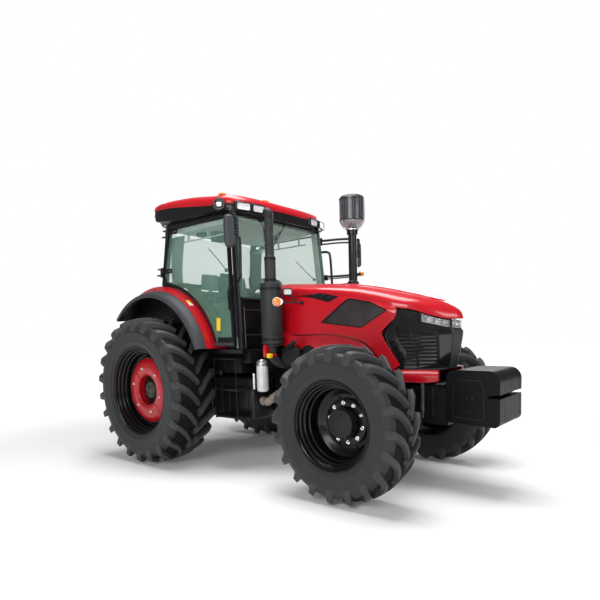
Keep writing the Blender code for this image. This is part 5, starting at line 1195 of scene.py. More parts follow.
def lamp(trio, middle, turn, w, h, deep=0.050):
    """A rectangular work lamp: rounded housing, bright bowl and clear glass, turned about Z."""
    place = turned(middle, turn)
    black, bright, glass = trio

    def ring(x, less, r, share=1.0, taller=0.0):
        a, b, r = (w - less) * share, (h - less + taller) * share, h * r
        points = []
        for cy, cz, start in ((a - r, b - r, 0), (-a + r, b - r, 90), (-a + r, -b + r, 180), (a - r, -b + r, 270)):
            points += [(x, py, pz) for py, pz in arc((cy, cz), r, start, start + 90, 5)]
        return points

    black.loft([ring(-deep, 0, 0.3, 0.6), ring(-deep * 0.4, 0, 0.45), ring(0.004, 0, 0.45), ring(0.007, 0.003, 0.4),
                ring(0.006, 0.008, 0.35), ring(-0.004, 0.010, 0.35)], place)
    bright.loft([ring(-0.0035, 0.0095, 0.35), ring(0.0005, 0.0105, 0.33), ring(0.0005, 0.0150, 0.25),
                 ring(-0.0030, 0.0200, 0.2, taller=0.001)], place)
    for k in (-1, 0, 1):
        y = k * w * 0.42
        bright.box((-0.003, y - 0.0012, -h + 0.014), (0.002, y + 0.0012, h - 0.014), edge=0, matrix=place)
    glass.loft([ring(0.0015, 0.0100, 0.33), ring(0.0045, 0.0115, 0.3)], place)


def roof_lamps():
    trio = black, bright, glass = Shape(), Shape(), Shape()
    for side in SIDES:
        for x, y, turn in ((1.376, 0.478, 8), (1.344, 0.674, 18)):
            lamp(trio, (x, side * y, 2.862), side * turn, 0.084, 0.044)
            black.box((-0.050, -0.096, -0.052), (-0.004, 0.096, 0.056), edge=0.016, steps=3,
                      matrix=turned((x, side * y, 2.862), side * turn))
        # Round pod on the front corner with a square lamp in it
        turn = math.radians(side * 52)
        middle = Vector((1.118, side * 0.806, 2.890))
        out = Vector((math.cos(turn), math.sin(turn), 0))
        black.lathe([(0.0, -0.070), (0.060, -0.070), (0.066, -0.058), (0.066, 0.046), (0.061, 0.052), (0.054, 0.052),
                     (0.051, 0.040), (0.0, 0.040)], middle, out, steps=40)
        lamp(trio, middle + out * 0.046, side * 52, 0.037, 0.033, deep=0.006)
    # One more small lamp under the left pair, and two at the rear
    lamp(trio, (1.366, 0.600, 2.800), 10, 0.044, 0.030)
    for side in SIDES:
        lamp(trio, (0.060, side * 0.600, 2.955), 180, 0.060, 0.030)
    black.done("roof_lamp_housings", BLACK, angle=40)
    bright.done("roof_lamp_bowls", LENS, angle=30)
    glass.done("roof_lamp_glass", BOWL, angle=30)
    marks = Shape()
    marks.boxes(0.006, ((1.040, -0.760, 3.012), (1.110, -0.700, 3.034)),
                ((1.225, -0.300, 2.990), (1.290, -0.220, 3.010)))
    marks.done("roof_marker", AMBER)
    eyes = Shape()
    x, z = 1.05, 3.014
    for y in (-0.40, 0.40):
        eyes.tube([(x, y + 0.022 * math.cos(t), z + 0.024 + 0.022 * math.sin(t))
                   for t in (math.radians(a) for a in range(-60, 241, 30))], 0.0055, sides=8, fine=2)
        eyes.rod((x, y, z - 0.012), (x, y, z + 0.005), 0.014, sides=16)
    eyes.box((1.10, -0.050, 2.998), (1.19, 0.060, 3.012))
    eyes.done("roof_eyes", STEEL)


# ---- Helpers for the small parts

def spread(value, power):
    """Power of a value that keeps its sign."""
    return math.copysign(abs(value) ** power, value)


def block(name, look, low, high, edge=0.004, side=1, matrix=None):
    shape = Shape(side)
    shape.box(low, high, edge, matrix=matrix)
    shape.done(name, look)


# ---- Exhaust and air intake

def exhaust():
    x, y = 1.650, -0.620
    can = Shape()
    can.lathe([
        (0.0, 1.372), (0.080, 1.372), (0.084, 1.378), (0.084, 1.396), (0.108, 1.400), (0.112, 1.406), (0.112, 1.470),
        (0.1105, 1.474), (0.112, 1.478), (0.112, 1.952), (0.1105, 1.956), (0.112, 1.960), (0.112, 2.024),
        (0.108, 2.032), (0.098, 2.038), (0.0585, 2.044), (0.0585, 2.296), (0.0570, 2.306), (0.0480, 2.314),
        (0.0465, 2.560), (0.0455, 2.563), (0.0465, 2.566), (0.0465, 2.700), (0.0, 2.700),
    ], (x, y, 0))
    can.rod((x + 0.1115, y, 1.41), (x + 0.1115, y, 2.02), 0.002, sides=8)
    can.tube([(x, y, 1.40), (x, y, 1.27), (x + 0.020, y + 0.080, 1.195), (x + 0.040, y + 0.170, 1.180),
              (x + 0.040, -0.272, 1.180)], 0.050, sides=24)
    can.done("exhaust_can", SOOT, replaces="muffler", angle=32)
    # Short black elbow at the top that opens to the rear
    top = Shape()
    top.tube([(x, y, 2.690), (x, y, 2.735), (x - 0.014, y, 2.760), (x - 0.048, y, 2.776)],
             lambda t: 0.0475 - 0.012 * max(t - 0.72, 0.0) / 0.28, sides=32)
    top.done("exhaust_top", PLASTIC, angle=50)
    bands = Shape()
    for z, r in ((1.45, 0.114), (1.975, 0.114), (2.070, 0.0605), (2.285, 0.0605)):
        bands.lathe([(r - 0.003, -0.011), (r, -0.011), (r + 0.0015, 0.0), (r, 0.011), (r - 0.003, 0.011)], (x, y, z),
                    steps=48, ring=True)
        bands.bolt((x - (r + 0.004) * 0.8, y + (r + 0.004) * 0.6, z), 0.012, (-0.8, 0.6, 0), washer=False)
    bands.box((x - 0.03, -0.48, 1.440), (x + 0.03, -0.272, 1.462), edge=0.003)
    bands.done("exhaust_bands", CAST)


def intake():
    x, y = 1.890, 0.560
    foot = (x, y, 0)
    head = Shape()
    head.lathe([
        (0.0, 3.104), (0.124, 3.100), (0.138, 3.092), (0.144, 3.078), (0.1515, 3.074), (0.1515, 3.056), (0.1460, 3.052),
        (0.1460, 2.838), (0.1515, 2.834), (0.1515, 2.818), (0.1460, 2.814), (0.124, 2.812), (0.0, 2.812),
    ], foot, steps=72)
    for a in turns(30):
        spot = (x + 0.1465 * math.cos(a), y + 0.1465 * math.sin(a))
        head.rod((*spot, 2.844), (*spot, 3.048), 0.0026, sides=6)
    head.done("intake_head", HEAD, replaces="air_intake", angle=30)
    bowl = Shape()
    bowl.lathe([(0.142, 2.811), (0.145, 2.804), (0.140, 2.784), (0.118, 2.754), (0.086, 2.736), (0.070, 2.732),
                (0.070, 2.736), (0.084, 2.740), (0.116, 2.759), (0.136, 2.786), (0.140, 2.804), (0.138, 2.811)],
               foot, steps=56, ring=True)
    bowl.done("intake_bowl", PRECLEAN)
    cage = Shape()
    for a in turns(6):
        cage.tube([(x + r * math.cos(a + 0.2), y + r * math.sin(a + 0.2), z)
                   for r, z in ((0.147, 2.822), (0.1490, 2.800), (0.142, 2.778), (0.120, 2.748), (0.086, 2.730),
                                (0.070, 2.726))], 0.0026, sides=6, fine=2)
    cage.lathe([(0.066, 2.708), (0.078, 2.708), (0.078, 2.722), (0.066, 2.722)], foot, steps=40, ring=True)
    cage.box((x - 0.014, y - 0.100, 2.706), (x + 0.014, y - 0.070, 2.724), edge=0.003)
    cage.done("intake_clamp", STEEL)
    pipe = Shape()
    pipe.lathe([
        (0.0, 2.780), (0.0505, 2.780), (0.0505, 2.724), (0.0655, 2.720), (0.0655, 2.660), (0.0505, 2.654),
        (0.0505, 2.118), (0.0560, 2.112), (0.0680, 2.104), (0.0690, 2.060), (0.0560, 2.050), (0.0525, 2.030),
        (0.0525, 1.640), (0.0, 1.640),
    ], foot, steps=48)
    pipe.tube([(x, y, 1.66), (x, y, 1.33), (x, y - 0.050, 1.235), (x, y - 0.140, 1.210), (x, 0.272, 1.210)], 0.052,
              sides=24)
    pipe.boxes(0.003, ((x - 0.155, y - 0.05, 2.078), (x - 0.05, y + 0.05, 2.092)),
               ((x - 0.030, 0.350, 1.900), (x + 0.030, y - 0.04, 1.922)))
    pipe.done("intake_pipe", BLACK, angle=32)


# ---- Mirrors, signal lamps and rails

def mirror_ring(x, grow):
    """Ring of the mirror's head in its own axes: upright, with round ends."""
    half_w, half_h = 0.056, 0.157
    return [(x, half_w * grow * spread(math.cos(t), 0.62), (half_h - (1 - grow) * half_w) * spread(math.sin(t), 0.42))
            for t in turns(40)]


def mirrors():
    for side in SIDES:
        body, glass, arm, bolts, rail = (Shape(side) for _ in range(5))
        place = turned((1.606, side * 1.124, 2.510), 35 * side)
        body.loft([mirror_ring(0.050 * math.sin(t) - 0.022, math.cos(t * 0.93) ** 0.55)
                   for t in (math.pi / 2 * i / 9 for i in range(10))], place)
        body.done("mirror_shell_", GREY, angle=40)
        glass.loft([mirror_ring(-0.0235, 0.93), mirror_ring(-0.0215, 0.95)], place)
        glass.done("mirror_glass_", MIRROR)
        x = front_x(2.70) - 0.030
        for drop, radius in ((0.0, 0.0150), (0.045, 0.0105)):
            arm.tube([(x, side_y(2.70) + 0.0005, 2.700 - drop), (x + 0.020, 0.820, 2.702 - drop),
                      (1.420, 0.940, 2.716 - drop), (1.570, 1.074, 2.716 - drop), (1.604, 1.100, 2.690 - drop * 0.6)],
                     radius)
        arm.box((x - 0.036, 0.742, 2.630), (x + 0.040, 0.764, 2.728), edge=0.005)
        # Bellows over the joint that carries the head
        arm.tube([(1.604, 1.096, 2.706), (1.626, 1.076, 2.640), (1.632, 1.068, 2.560), (1.630, 1.072, 2.470)],
                 lambda t: 0.0240 + 0.0060 * math.sin(t * 62), sides=20, fine=22)
        arm.box((1.606, 1.072, 2.470), (1.634, 1.110, 2.520))
        arm.done("mirror_arm_", PLASTIC, replaces="mirror_", angle=40)
        for z in (2.645, 2.712):
            bolts.bolt((x, 0.7645, z), 0.014)
        bolts.done("mirror_bolts_", STEEL)
        # Grab rail on the front post, and on the left the lower arm with a signal lamp
        rail.tube([(front_x(2.5) - 0.020, 0.752, 2.545), (front_x(2.5) + 0.060, 0.780, 2.540),
                   (front_x(2.4) + 0.090, 0.785, 2.480), (front_x(2.1) + 0.075, 0.800, 2.180),
                   (front_x(2.1) + 0.070, 0.800, 2.120), (front_x(2.0) - 0.010, 0.775, 2.080)], 0.0155)
        if side > 0:
            rail.tube([(1.330, 0.768, 2.228), (1.480, 0.860, 2.232), (1.640, 0.950, 2.240), (1.700, 0.992, 2.252)],
                      0.0150, sides=10)
            rail.tube([(1.330, 0.768, 2.198), (1.480, 0.860, 2.206), (1.640, 0.950, 2.216), (1.700, 0.992, 2.236)],
                      0.0075, sides=10)
            rail.box((1.300, 0.752, 2.180), (1.345, 0.784, 2.250))
            rail.rod((1.698, 0.995, 2.252), (1.712, 1.000, 2.252), 0.030, sides=20)
            signal = Shape()
            signal.lathe([(0.0, -0.006), (0.031, -0.006), (0.034, 0.006), (0.032, 0.022), (0.022, 0.032), (0.0, 0.036)],
                         (1.718, 1.003, 2.252), (0.93, 0.36, 0), steps=32)
            signal.done("signal_left", AMBER)
        rail.done("grab_rail_", BLACK, angle=40)
    # Signal lamp and marker lamp beside the hood, on one arm
    arm, signal, inner = Shape(), Shape(), Shape()
    middle, ahead = (1.820, -0.715, 1.829), (0.64, -0.77, 0)
    arm.tube([(1.930, -0.455, 1.822), (1.880, -0.560, 1.824), (1.812, -0.690, 1.829)], 0.0085)
    arm.tube([(1.905, -0.510, 1.825), (1.885, -0.545, 1.880), (1.862, -0.590, 1.905)], 0.0085)
    arm.rod((1.932, -0.4535, 1.822), (1.929, -0.462, 1.822), 0.022, sides=20)
    arm.lathe([(0.0, -0.018), (0.032, -0.018), (0.043, -0.006), (0.043, 0.012), (0.0, 0.012)], middle, ahead, steps=32)
    arm.done("signal_arm", PLASTIC, "hood", angle=40)
    signal.lathe([(0.043, 0.010), (0.0435, 0.024), (0.036, 0.038), (0.017, 0.046), (0.0, 0.047), (0.0, 0.010)],
                 middle, ahead, steps=32)
    signal.done("signal_right", AMBER, "hood")
    inner.lathe([(0.0435, 0.010), (0.0455, 0.012), (0.0455, 0.022), (0.0435, 0.023)], middle, ahead, steps=32,
                ring=True)
    inner.lathe([(0.0, -0.004), (0.030, 0.000), (0.034, 0.020), (0.030, 0.034), (0.0, 0.041)], (1.836, -0.693, 1.829),
                (0.75, -0.66, 0), steps=28)
    inner.done("signal_rim", LENS, "hood")
    trio = black, bright, glass = Shape(), Shape(), Shape()
    lamp(trio, (1.872, -0.606, 1.931), -36, 0.050, 0.036, deep=0.036)
    black.done("marker_housing", PLASTIC, "hood", angle=40)
    bright.done("marker_bowl", LENS, "hood")
    glass.done("marker_glass", BOWL, "hood")


# ---- Doors: hinges, trim and small parts; wipers

HINGES = ((0.031, 2.2835), (0.142, 2.731))
TRIM_EDGE = [(0.874, 1.856), (0.815, 1.930), (0.761, 1.986), (0.710, 2.030), (0.640, 2.070), (0.560, 2.100),
             (0.460, 2.122), (0.340, 2.128)]


def door_parts():
    for side in SIDES:
        spots = [Vector((x, side_y(z) + 0.052, z)) for x, z in HINGES]
        axis = (spots[1] - spots[0]).normalized()
        moving, still, bolts, trim, small, tag, ledge, seal, strip, cover = (Shape(side) for _ in range(10))
        for spot in spots:
            x, z = spot.x, spot.z
            moving.rod(spot - axis * 0.0217, spot + axis * 0.0217, 0.0150, sides=20, edge=0.002)
            for up in (-0.0135, 0.0135):
                y = side_y(z + up) + 0.035
                moving.loft([[(along, y + a, z + up + b) for a, b in
                              ((0.0, -0.0090), (0.018, -0.0090), (0.018, 0.0090), (0.0, 0.0090))]
                             for along in (x + 0.006, x + 0.165)])
            moving.box((x + 0.110, side_y(z) + 0.0342, z - 0.026), (x + 0.178, side_y(z) + 0.046, z + 0.026))
            for dx in (0.128, 0.160):
                bolts.bolt((x + dx, side_y(z) + 0.0465, z), 0.012, washer=False)
            for a, b in ((-0.052, -0.0224), (0.0224, 0.052)):
                still.rod(spot + axis * a, spot + axis * b, 0.0140, sides=20, edge=0.002)
                mid = spot + axis * (a + b) / 2
                still.box((mid.x - 0.100, side_y(mid.z) - 0.020, mid.z - 0.008), (mid.x - 0.006, mid.y, mid.z + 0.008),
                          edge=0.003)
            still.box((x - 0.104, side_y(z) - 0.030, z - 0.056), (x - 0.050, side_y(z) + 0.006, z + 0.056))
        moving.done("door_hinge_", BLACK, "door_", angle=40)
        bolts.done("hinge_bolts_", STEEL, "door_")
        still.done("hinge_bracket_", BLACK, angle=40)

        outline = [p for p in door_line(0.030) if p[1] < 2.126][:26] + [(front_x(1.862) - 0.114, 1.862)] + TRIM_EDGE
        outline = [(front_x(1.42) - 0.104, 1.416) if x > 1.2 and z <= 1.43 else (x, z) for x, z in outline]
        trim.plate(list(dict.fromkeys(outline)), -0.0165, -0.008, bend=on_cab, cell=0.12)
        trim.done("door_trim_", GREEN_TRIM, "door_")
        small.tube([(0.924, side_y(1.842) + 0.018, 1.842), (0.975, side_y(1.78) + 0.018, 1.775),
                    (1.033, side_y(1.705) + 0.018, 1.705)], 0.0045, sides=8)
        small.tube([(0.830, side_y(2.478) - 0.004, 2.478), (0.972, side_y(2.35) - 0.010, 2.349),
                    (1.114, side_y(2.22) - 0.004, 2.220)], 0.0050, sides=10)
        low = side_y(1.52) + 0.0265
        for start, end, radius in (
                ((1.120, side_y(2.21) - 0.012, 2.214), (1.140, side_y(2.21) + 0.010, 2.200), 0.018),
                ((0.905, low, 1.520), (0.905, low + 0.0035, 1.520), 0.008),
                ((1.060, low, 1.530), (1.060, low + 0.0045, 1.530), 0.007)):
            small.rod(start, end, radius, sides=16)
        small.done("door_fittings_", BLACK, "door_")
        tag.plate([(0.999, 1.555), (1.062, 1.552), (1.060, 1.692), (0.997, 1.696)], -0.0275, -0.0262, bend=on_cab)
        tag.done("door_plate_", YELLOW, "door_")
        ledge.plate([(0.972, 1.392), (1.282, 1.392), (1.279, 1.424), (0.962, 1.424)], -0.0350, -0.0262, bend=on_cab,
                    cell=0.12)
        ledge.done("door_ledge_", GREY, "door_")
        # Seal between door and fender, and the light strip between door and front post
        seal.tube([(x, side_y(z) + 0.004, z) for x, z in arc(ARC_TOP[1:3], ARC_TOP[3] + 0.012, 84, 20, 22)], 0.0075,
                  sides=8, fine=1)
        seal.done("door_seal_", RUBBER)
        rings = []
        for z in (1.480, 1.900, 2.320, 2.760):
            x, y = front_x(z) - 0.0640, side_y(z) + 0.0005
            rings.append(slab(x - 0.004, x + 0.003, y - 0.012, y + 0.003, z))
        strip.loft(rings)
        strip.done("post_strip_", GREY)
        # Pleated cover on the inside of the rear post
        rows = []
        for t in (i / 8 for i in range(9)):
            z = 2.700 - 0.560 * t
            near, far = 0.055 - 0.040 * t + 0.050 * t**3, 0.290 - 0.090 * t + 0.05 * t**4
            rows.append([(near + (far - near) * k / 42, side_y(z) - 0.080 - 0.012 * math.cos(k / 42 * 7 * TAU), z)
                         for k in range(43)])
        cover.sheet(rows, wall=0.003)
        cover.done("post_cover_", PLEAT, angle=60)
    wipers = Shape()
    ahead = Vector((1, 0, 0))
    for foot, tip in (((1.315, -0.395, 2.760), (1.352, -0.350, 2.500)),
                      ((1.330, -0.020, 2.770), (1.366, -0.210, 2.560))):
        foot, tip = Vector(foot), Vector(tip)
        wipers.tube([foot, foot.lerp(tip, 0.35) + ahead * 0.016, tip + Vector((0.014, 0, 0.06)), tip + ahead * 0.006],
                    0.0050, sides=8)
        way = (tip - foot).normalized()
        wipers.rod(tip - way * 0.16 + ahead * 0.006, tip + way * 0.13 + ahead * 0.010, 0.0062, sides=8)
        wipers.rod(foot - ahead * 0.020, foot + ahead * 0.012, 0.014, sides=16)
    wipers.done("wipers", BLACK)
    strips = Shape()
    for z in (1.500, 1.772):
        strips.box((1.3285, -0.736, z - 0.005), (1.3400, 0.736, z + 0.005), edge=0.002)
    strips.box((1.3285, -0.700, 1.885), (1.360, 0.700, 1.903))
    strips.done("firewall_strips", GREY)
    boards = Shape()
    boards.box((1.2930, -0.7400, 1.3510), (1.3282, 0.7400, 1.8990))
    for y in (-0.56, -0.18, 0.18, 0.56):
        boards.box((1.3270, y - 0.130, 1.545), (1.3380, y + 0.130, 1.735), edge=0.008, steps=3)
    boards.done("firewall_board", BLACK, replaces="firewall")


# ---- Cab interior

STEERING_HUB = Vector((0.985, 0, 2.030))
STEERING_AXIS = Vector((-math.sin(math.radians(35)), 0, math.cos(math.radians(35))))


def cushion(name, middle, size, turn, bulge, channels):
    """A padded piece: crowned on both faces, its sides drawn in between the corners, with sewn channels."""
    width, length, thick = size
    place = Matrix.Translation(middle) @ turn
    rows = 26

    def half_width(v):
        return width / 2 * (1 - 0.030 * (1 - v * v))

    def half_length(u):
        return length / 2 * (1 - 0.035 * (1 - u * u))

    shape = Shape()
    bm = bmesh.new()
    upper, lower = [], []
    for u in (2 * i / rows - 1 for i in range(rows + 1)):
        over, under = [], []
        for v in (2 * k / rows - 1 for k in range(rows + 1)):
            x, y = half_width(v) * spread(u, 0.92), half_length(u) * spread(v, 0.92)
            dome = ((1 - abs(u) ** 3.2) * (1 - abs(v) ** 3.2)) ** 0.42
            sew = sum(0.16 * math.exp(-((v - c) / 0.035) ** 2) for c in channels)
            high = thick / 2 * dome * (1 + bulge * (1 - u * u) * (1 - v * v)) * (1 - sew)
            over.append(bm.verts.new((x, y, high)))
            edge = abs(u) == 1 or abs(v) == 1
            under.append(over[-1] if edge else bm.verts.new((x, y, -thick / 2 * dome * 0.85)))
        upper.append(over)
        lower.append(under)
    skin(bm, lower, ring=False)
    skin(bm, upper, ring=False)
    shape.take(bm, place)
    rim = []
    for t in turns(48):
        u, v = spread(math.cos(t), 0.22), spread(math.sin(t), 0.22)
        rim.append(place @ Vector((half_width(v) * u * 0.995, half_length(u) * v * 0.995, 0.0)))
    shape.tube(rim, 0.0042, sides=8, fine=1, closed=True)
    made = shape.done(name, CLOTH, angle=60)


def interior():
    base = Shape()
    base.box((0.400, -0.190, 1.3503), (0.720, 0.190, 1.400), edge=0.010)
    rings = []
    for i in range(15):
        r = 0.155 if i % 2 else 0.138
        z = 1.400 + 0.170 * i / 14
        rings.append([(0.560 + r * spread(math.cos(t), 0.6), r * 1.05 * spread(math.sin(t), 0.6), z)
                      for t in turns(32)])
    base.loft(rings)
    base.box((0.350, -0.225, 1.570), (0.790, 0.225, 1.615), edge=0.014)
    base.box((0.255, -0.120, 1.600), (0.330, 0.120, 1.860), edge=0.020)
    for base.side in SIDES:
        base.box((0.300, 0.244, 1.600), (0.400, 0.280, 1.900), edge=0.012)
        base.box((0.330, 0.245, 1.890), (0.640, 0.305, 1.935), edge=0.016, steps=3)
    base.done("seat_base", DARK_TRIM, replaces="seat")
    flat = Matrix.Rotation(math.radians(90), 4, "Z")
    lean = Matrix.Rotation(math.radians(-100), 4, "Y") @ Matrix.Rotation(math.radians(180), 4, "Z")
    cushion("seat_pad", (0.630, 0, 1.672), (0.480, 0.400, 0.120), flat, 0.10, (-0.55, 0.0, 0.55))
    cushion("seat_back", (0.405, 0, 1.955), (0.600, 0.485, 0.130), lean, 0.10, (-0.5, 0.5))
    cushion("seat_head", (0.330, 0, 2.225), (0.140, 0.300, 0.095), lean, 0.12, ())

    wheel = Shape()
    wheel.lathe([(0.1965 + 0.0165 * math.cos(t), 0.0165 * math.sin(t)) for t in turns(14)], STEERING_HUB,
                STEERING_AXIS, steps=56, ring=True)
    for t in turns(3, 180):
        way = Vector((math.cos(t), math.sin(t), 0))
        across = Vector((-way.y, way.x, 0))
        wheel.loft([[way * r + across * (w * q) + Vector((0, 0, h)) for q, h in
                     ((-1, -0.006), (1, -0.006), (1, 0.004), (-1, 0.004))]
                    for r, w in ((0.030, 0.028), (0.100, 0.017), (0.186, 0.024))],
                   Matrix.Translation(STEERING_HUB) @ aim(STEERING_AXIS))
    wheel.lathe([(0.0, 0.013), (0.034, 0.012), (0.048, 0.006), (0.052, -0.006), (0.044, -0.040), (0.0, -0.040)],
                STEERING_HUB, STEERING_AXIS, steps=36)
    wheel.done("steering_grip", PLASTIC, "steering_wheel", replaces="steering_wheel", angle=40)

    dash = Shape()
    dash.loft([[(x, -w, z), (x + 0.02, -w - 0.02, z), (x + d, -w - 0.01, z), (x + d + 0.02, 0, z), (x + d, w + 0.01, z),
                (x + 0.02, w + 0.02, z), (x, w, z)]
               for x, w, d, z in ((1.115, 0.110, 0.110, 1.3504), (1.105, 0.115, 0.115, 1.600),
                                  (1.100, 0.150, 0.120, 1.800), (1.085, 0.195, 0.140, 1.930),
                                  (1.080, 0.200, 0.150, 1.990), (1.100, 0.180, 0.120, 2.020))])
    start = STEERING_HUB - STEERING_AXIS * 0.047
    dash.rod(start, start - STEERING_AXIS * 0.230, 0.036, 0.052)
    stalk = start - STEERING_AXIS * 0.05
    dash.tube([stalk, stalk + Vector((0.01, -0.075, 0.0)),
               start - STEERING_AXIS * 0.045 + Vector((0.01, -0.120, 0.02))], 0.007, sides=10)
    dash.done("dash_column", DARK_TRIM, replaces="dashboard", angle=34, bevel=0.006)
    dials = Shape()
    for y, r in ((-0.080, 0.036), (0.0, 0.046), (0.080, 0.036)):
        dials.lathe([(0.0, 0.004), (r - 0.005, 0.004), (r - 0.003, 0.008), (r, 0.008), (r, -0.004), (0.0, -0.004)],
                    (1.102, y, 2.020), (-0.5, 0, 0.86), steps=28)
    dials.done("dash_dials", LENS)

    consoles = Shape()
    for consoles.side in SIDES:
        consoles.loft([[(x, 0.330, 1.3510), (x, 0.6545, 1.3510), (x, 0.6545, z), (x, 0.40, z), (x, 0.345, z - 0.04)]
                       for x, z in ((0.000, 1.930), (0.20, 1.950), (0.420, 1.900), (0.640, 1.800), (0.760, 1.640),
                                    (0.800, 1.500))])
    consoles.loft([[(0.002, y, 1.352), (0.060, y, 1.352), (0.120, y, 1.80), (0.100, y, 2.06), (0.002, y, 2.09)]
                   for y in (-0.640, 0.640)])
    consoles.done("cab_consoles", TRIM, angle=34, bevel=0.008)
    lining = Shape()
    lining.loft([[(x, -0.672, 2.782), (x, 0.672, 2.782), (x, 0.640, z), (x, 0.0, z - 0.008), (x, -0.640, z)]
                 for x, z in ((0.105, 2.760), (0.300, 2.742), (0.900, 2.742), (1.200, 2.762))])
    for lining.side in SIDES:
        rings = []
        for z in (1.36, 1.90, 2.40, 2.775):
            x, y = front_x(z) - 0.062, side_y(z) - 0.061
            rings.append([(x - 0.030, y + 0.045, z), (x - 0.030, y - 0.014, z), (x + 0.050, y - 0.014, z),
                          (x + 0.050, y, z)])
        lining.loft(rings)
    lining.done("cab_lining", PALE_TRIM, angle=34)
    rails = Shape()
    for rails.side in SIDES:
        rails.rod((0.180, 0.600, 2.640), (1.130, 0.600, 2.640), 0.0085, sides=12)
        for x in (0.30, 0.66, 1.02):
            rails.box((x - 0.010, 0.592, 2.640), (x + 0.010, 0.608, 2.760), edge=0.003)
    rails.done("cab_rails", PALE_TRIM)
    controls = Shape()
    controls.box((0.700, -0.600, 2.585), (0.790, -0.440, 2.700), edge=0.012, steps=3)
    controls.box((1.060, -0.100, 2.610), (1.085, 0.120, 2.700), edge=0.010, steps=3)
    controls.rod((1.075, 0.010, 2.700), (1.090, 0.010, 2.750), 0.008, sides=10)
    controls.box((0.340, -0.520, 2.700), (0.460, -0.420, 2.745), edge=0.010)
    for x, y, h in ((0.560, -0.420, 0.120), (0.610, -0.480, 0.100), (0.520, -0.500, 0.140), (0.900, -0.300, 0.400)):
        foot = 1.870 - (x - 0.42) * 0.40 if x < 0.8 else 1.3504
        controls.tube([(x, y, foot - 0.05), (x + 0.010, y, foot + h * 0.5), (x + 0.030, y, foot + h)], 0.007, sides=10)
        controls.lathe([(0.0, -0.020), (0.014, -0.016), (0.019, 0.0), (0.014, 0.016), (0.0, 0.020)],
                       (x + 0.032, y, foot + h + 0.012), steps=20)
    for y in (-0.170, -0.060, 0.170):
        controls.box((1.010, y - 0.035, 1.420), (1.022, y + 0.035, 1.500), edge=0.005)
        controls.rod((1.020, y, 1.440), (1.110, y, 1.560), 0.008, sides=10)
    controls.done("cab_controls", DARK_TRIM)
    pod = Shape()
    place = turned((0.430, -0.415, 2.150), 8, "Y")
    pod.box((-0.120, -0.045, -0.095), (0.120, 0.045, 0.095), edge=0.022, steps=3, matrix=place)
    pod.box((-0.100, -0.0465, -0.072), (0.060, -0.0440, 0.072), edge=0.001, matrix=place)
    pod.rod((0.440, -0.415, 1.880), (0.435, -0.415, 2.070), 0.022, sides=16)
    pod.done("console_pod", TRIM, angle=40)


# ---- Below the cab: tank, steps, filter and fittings

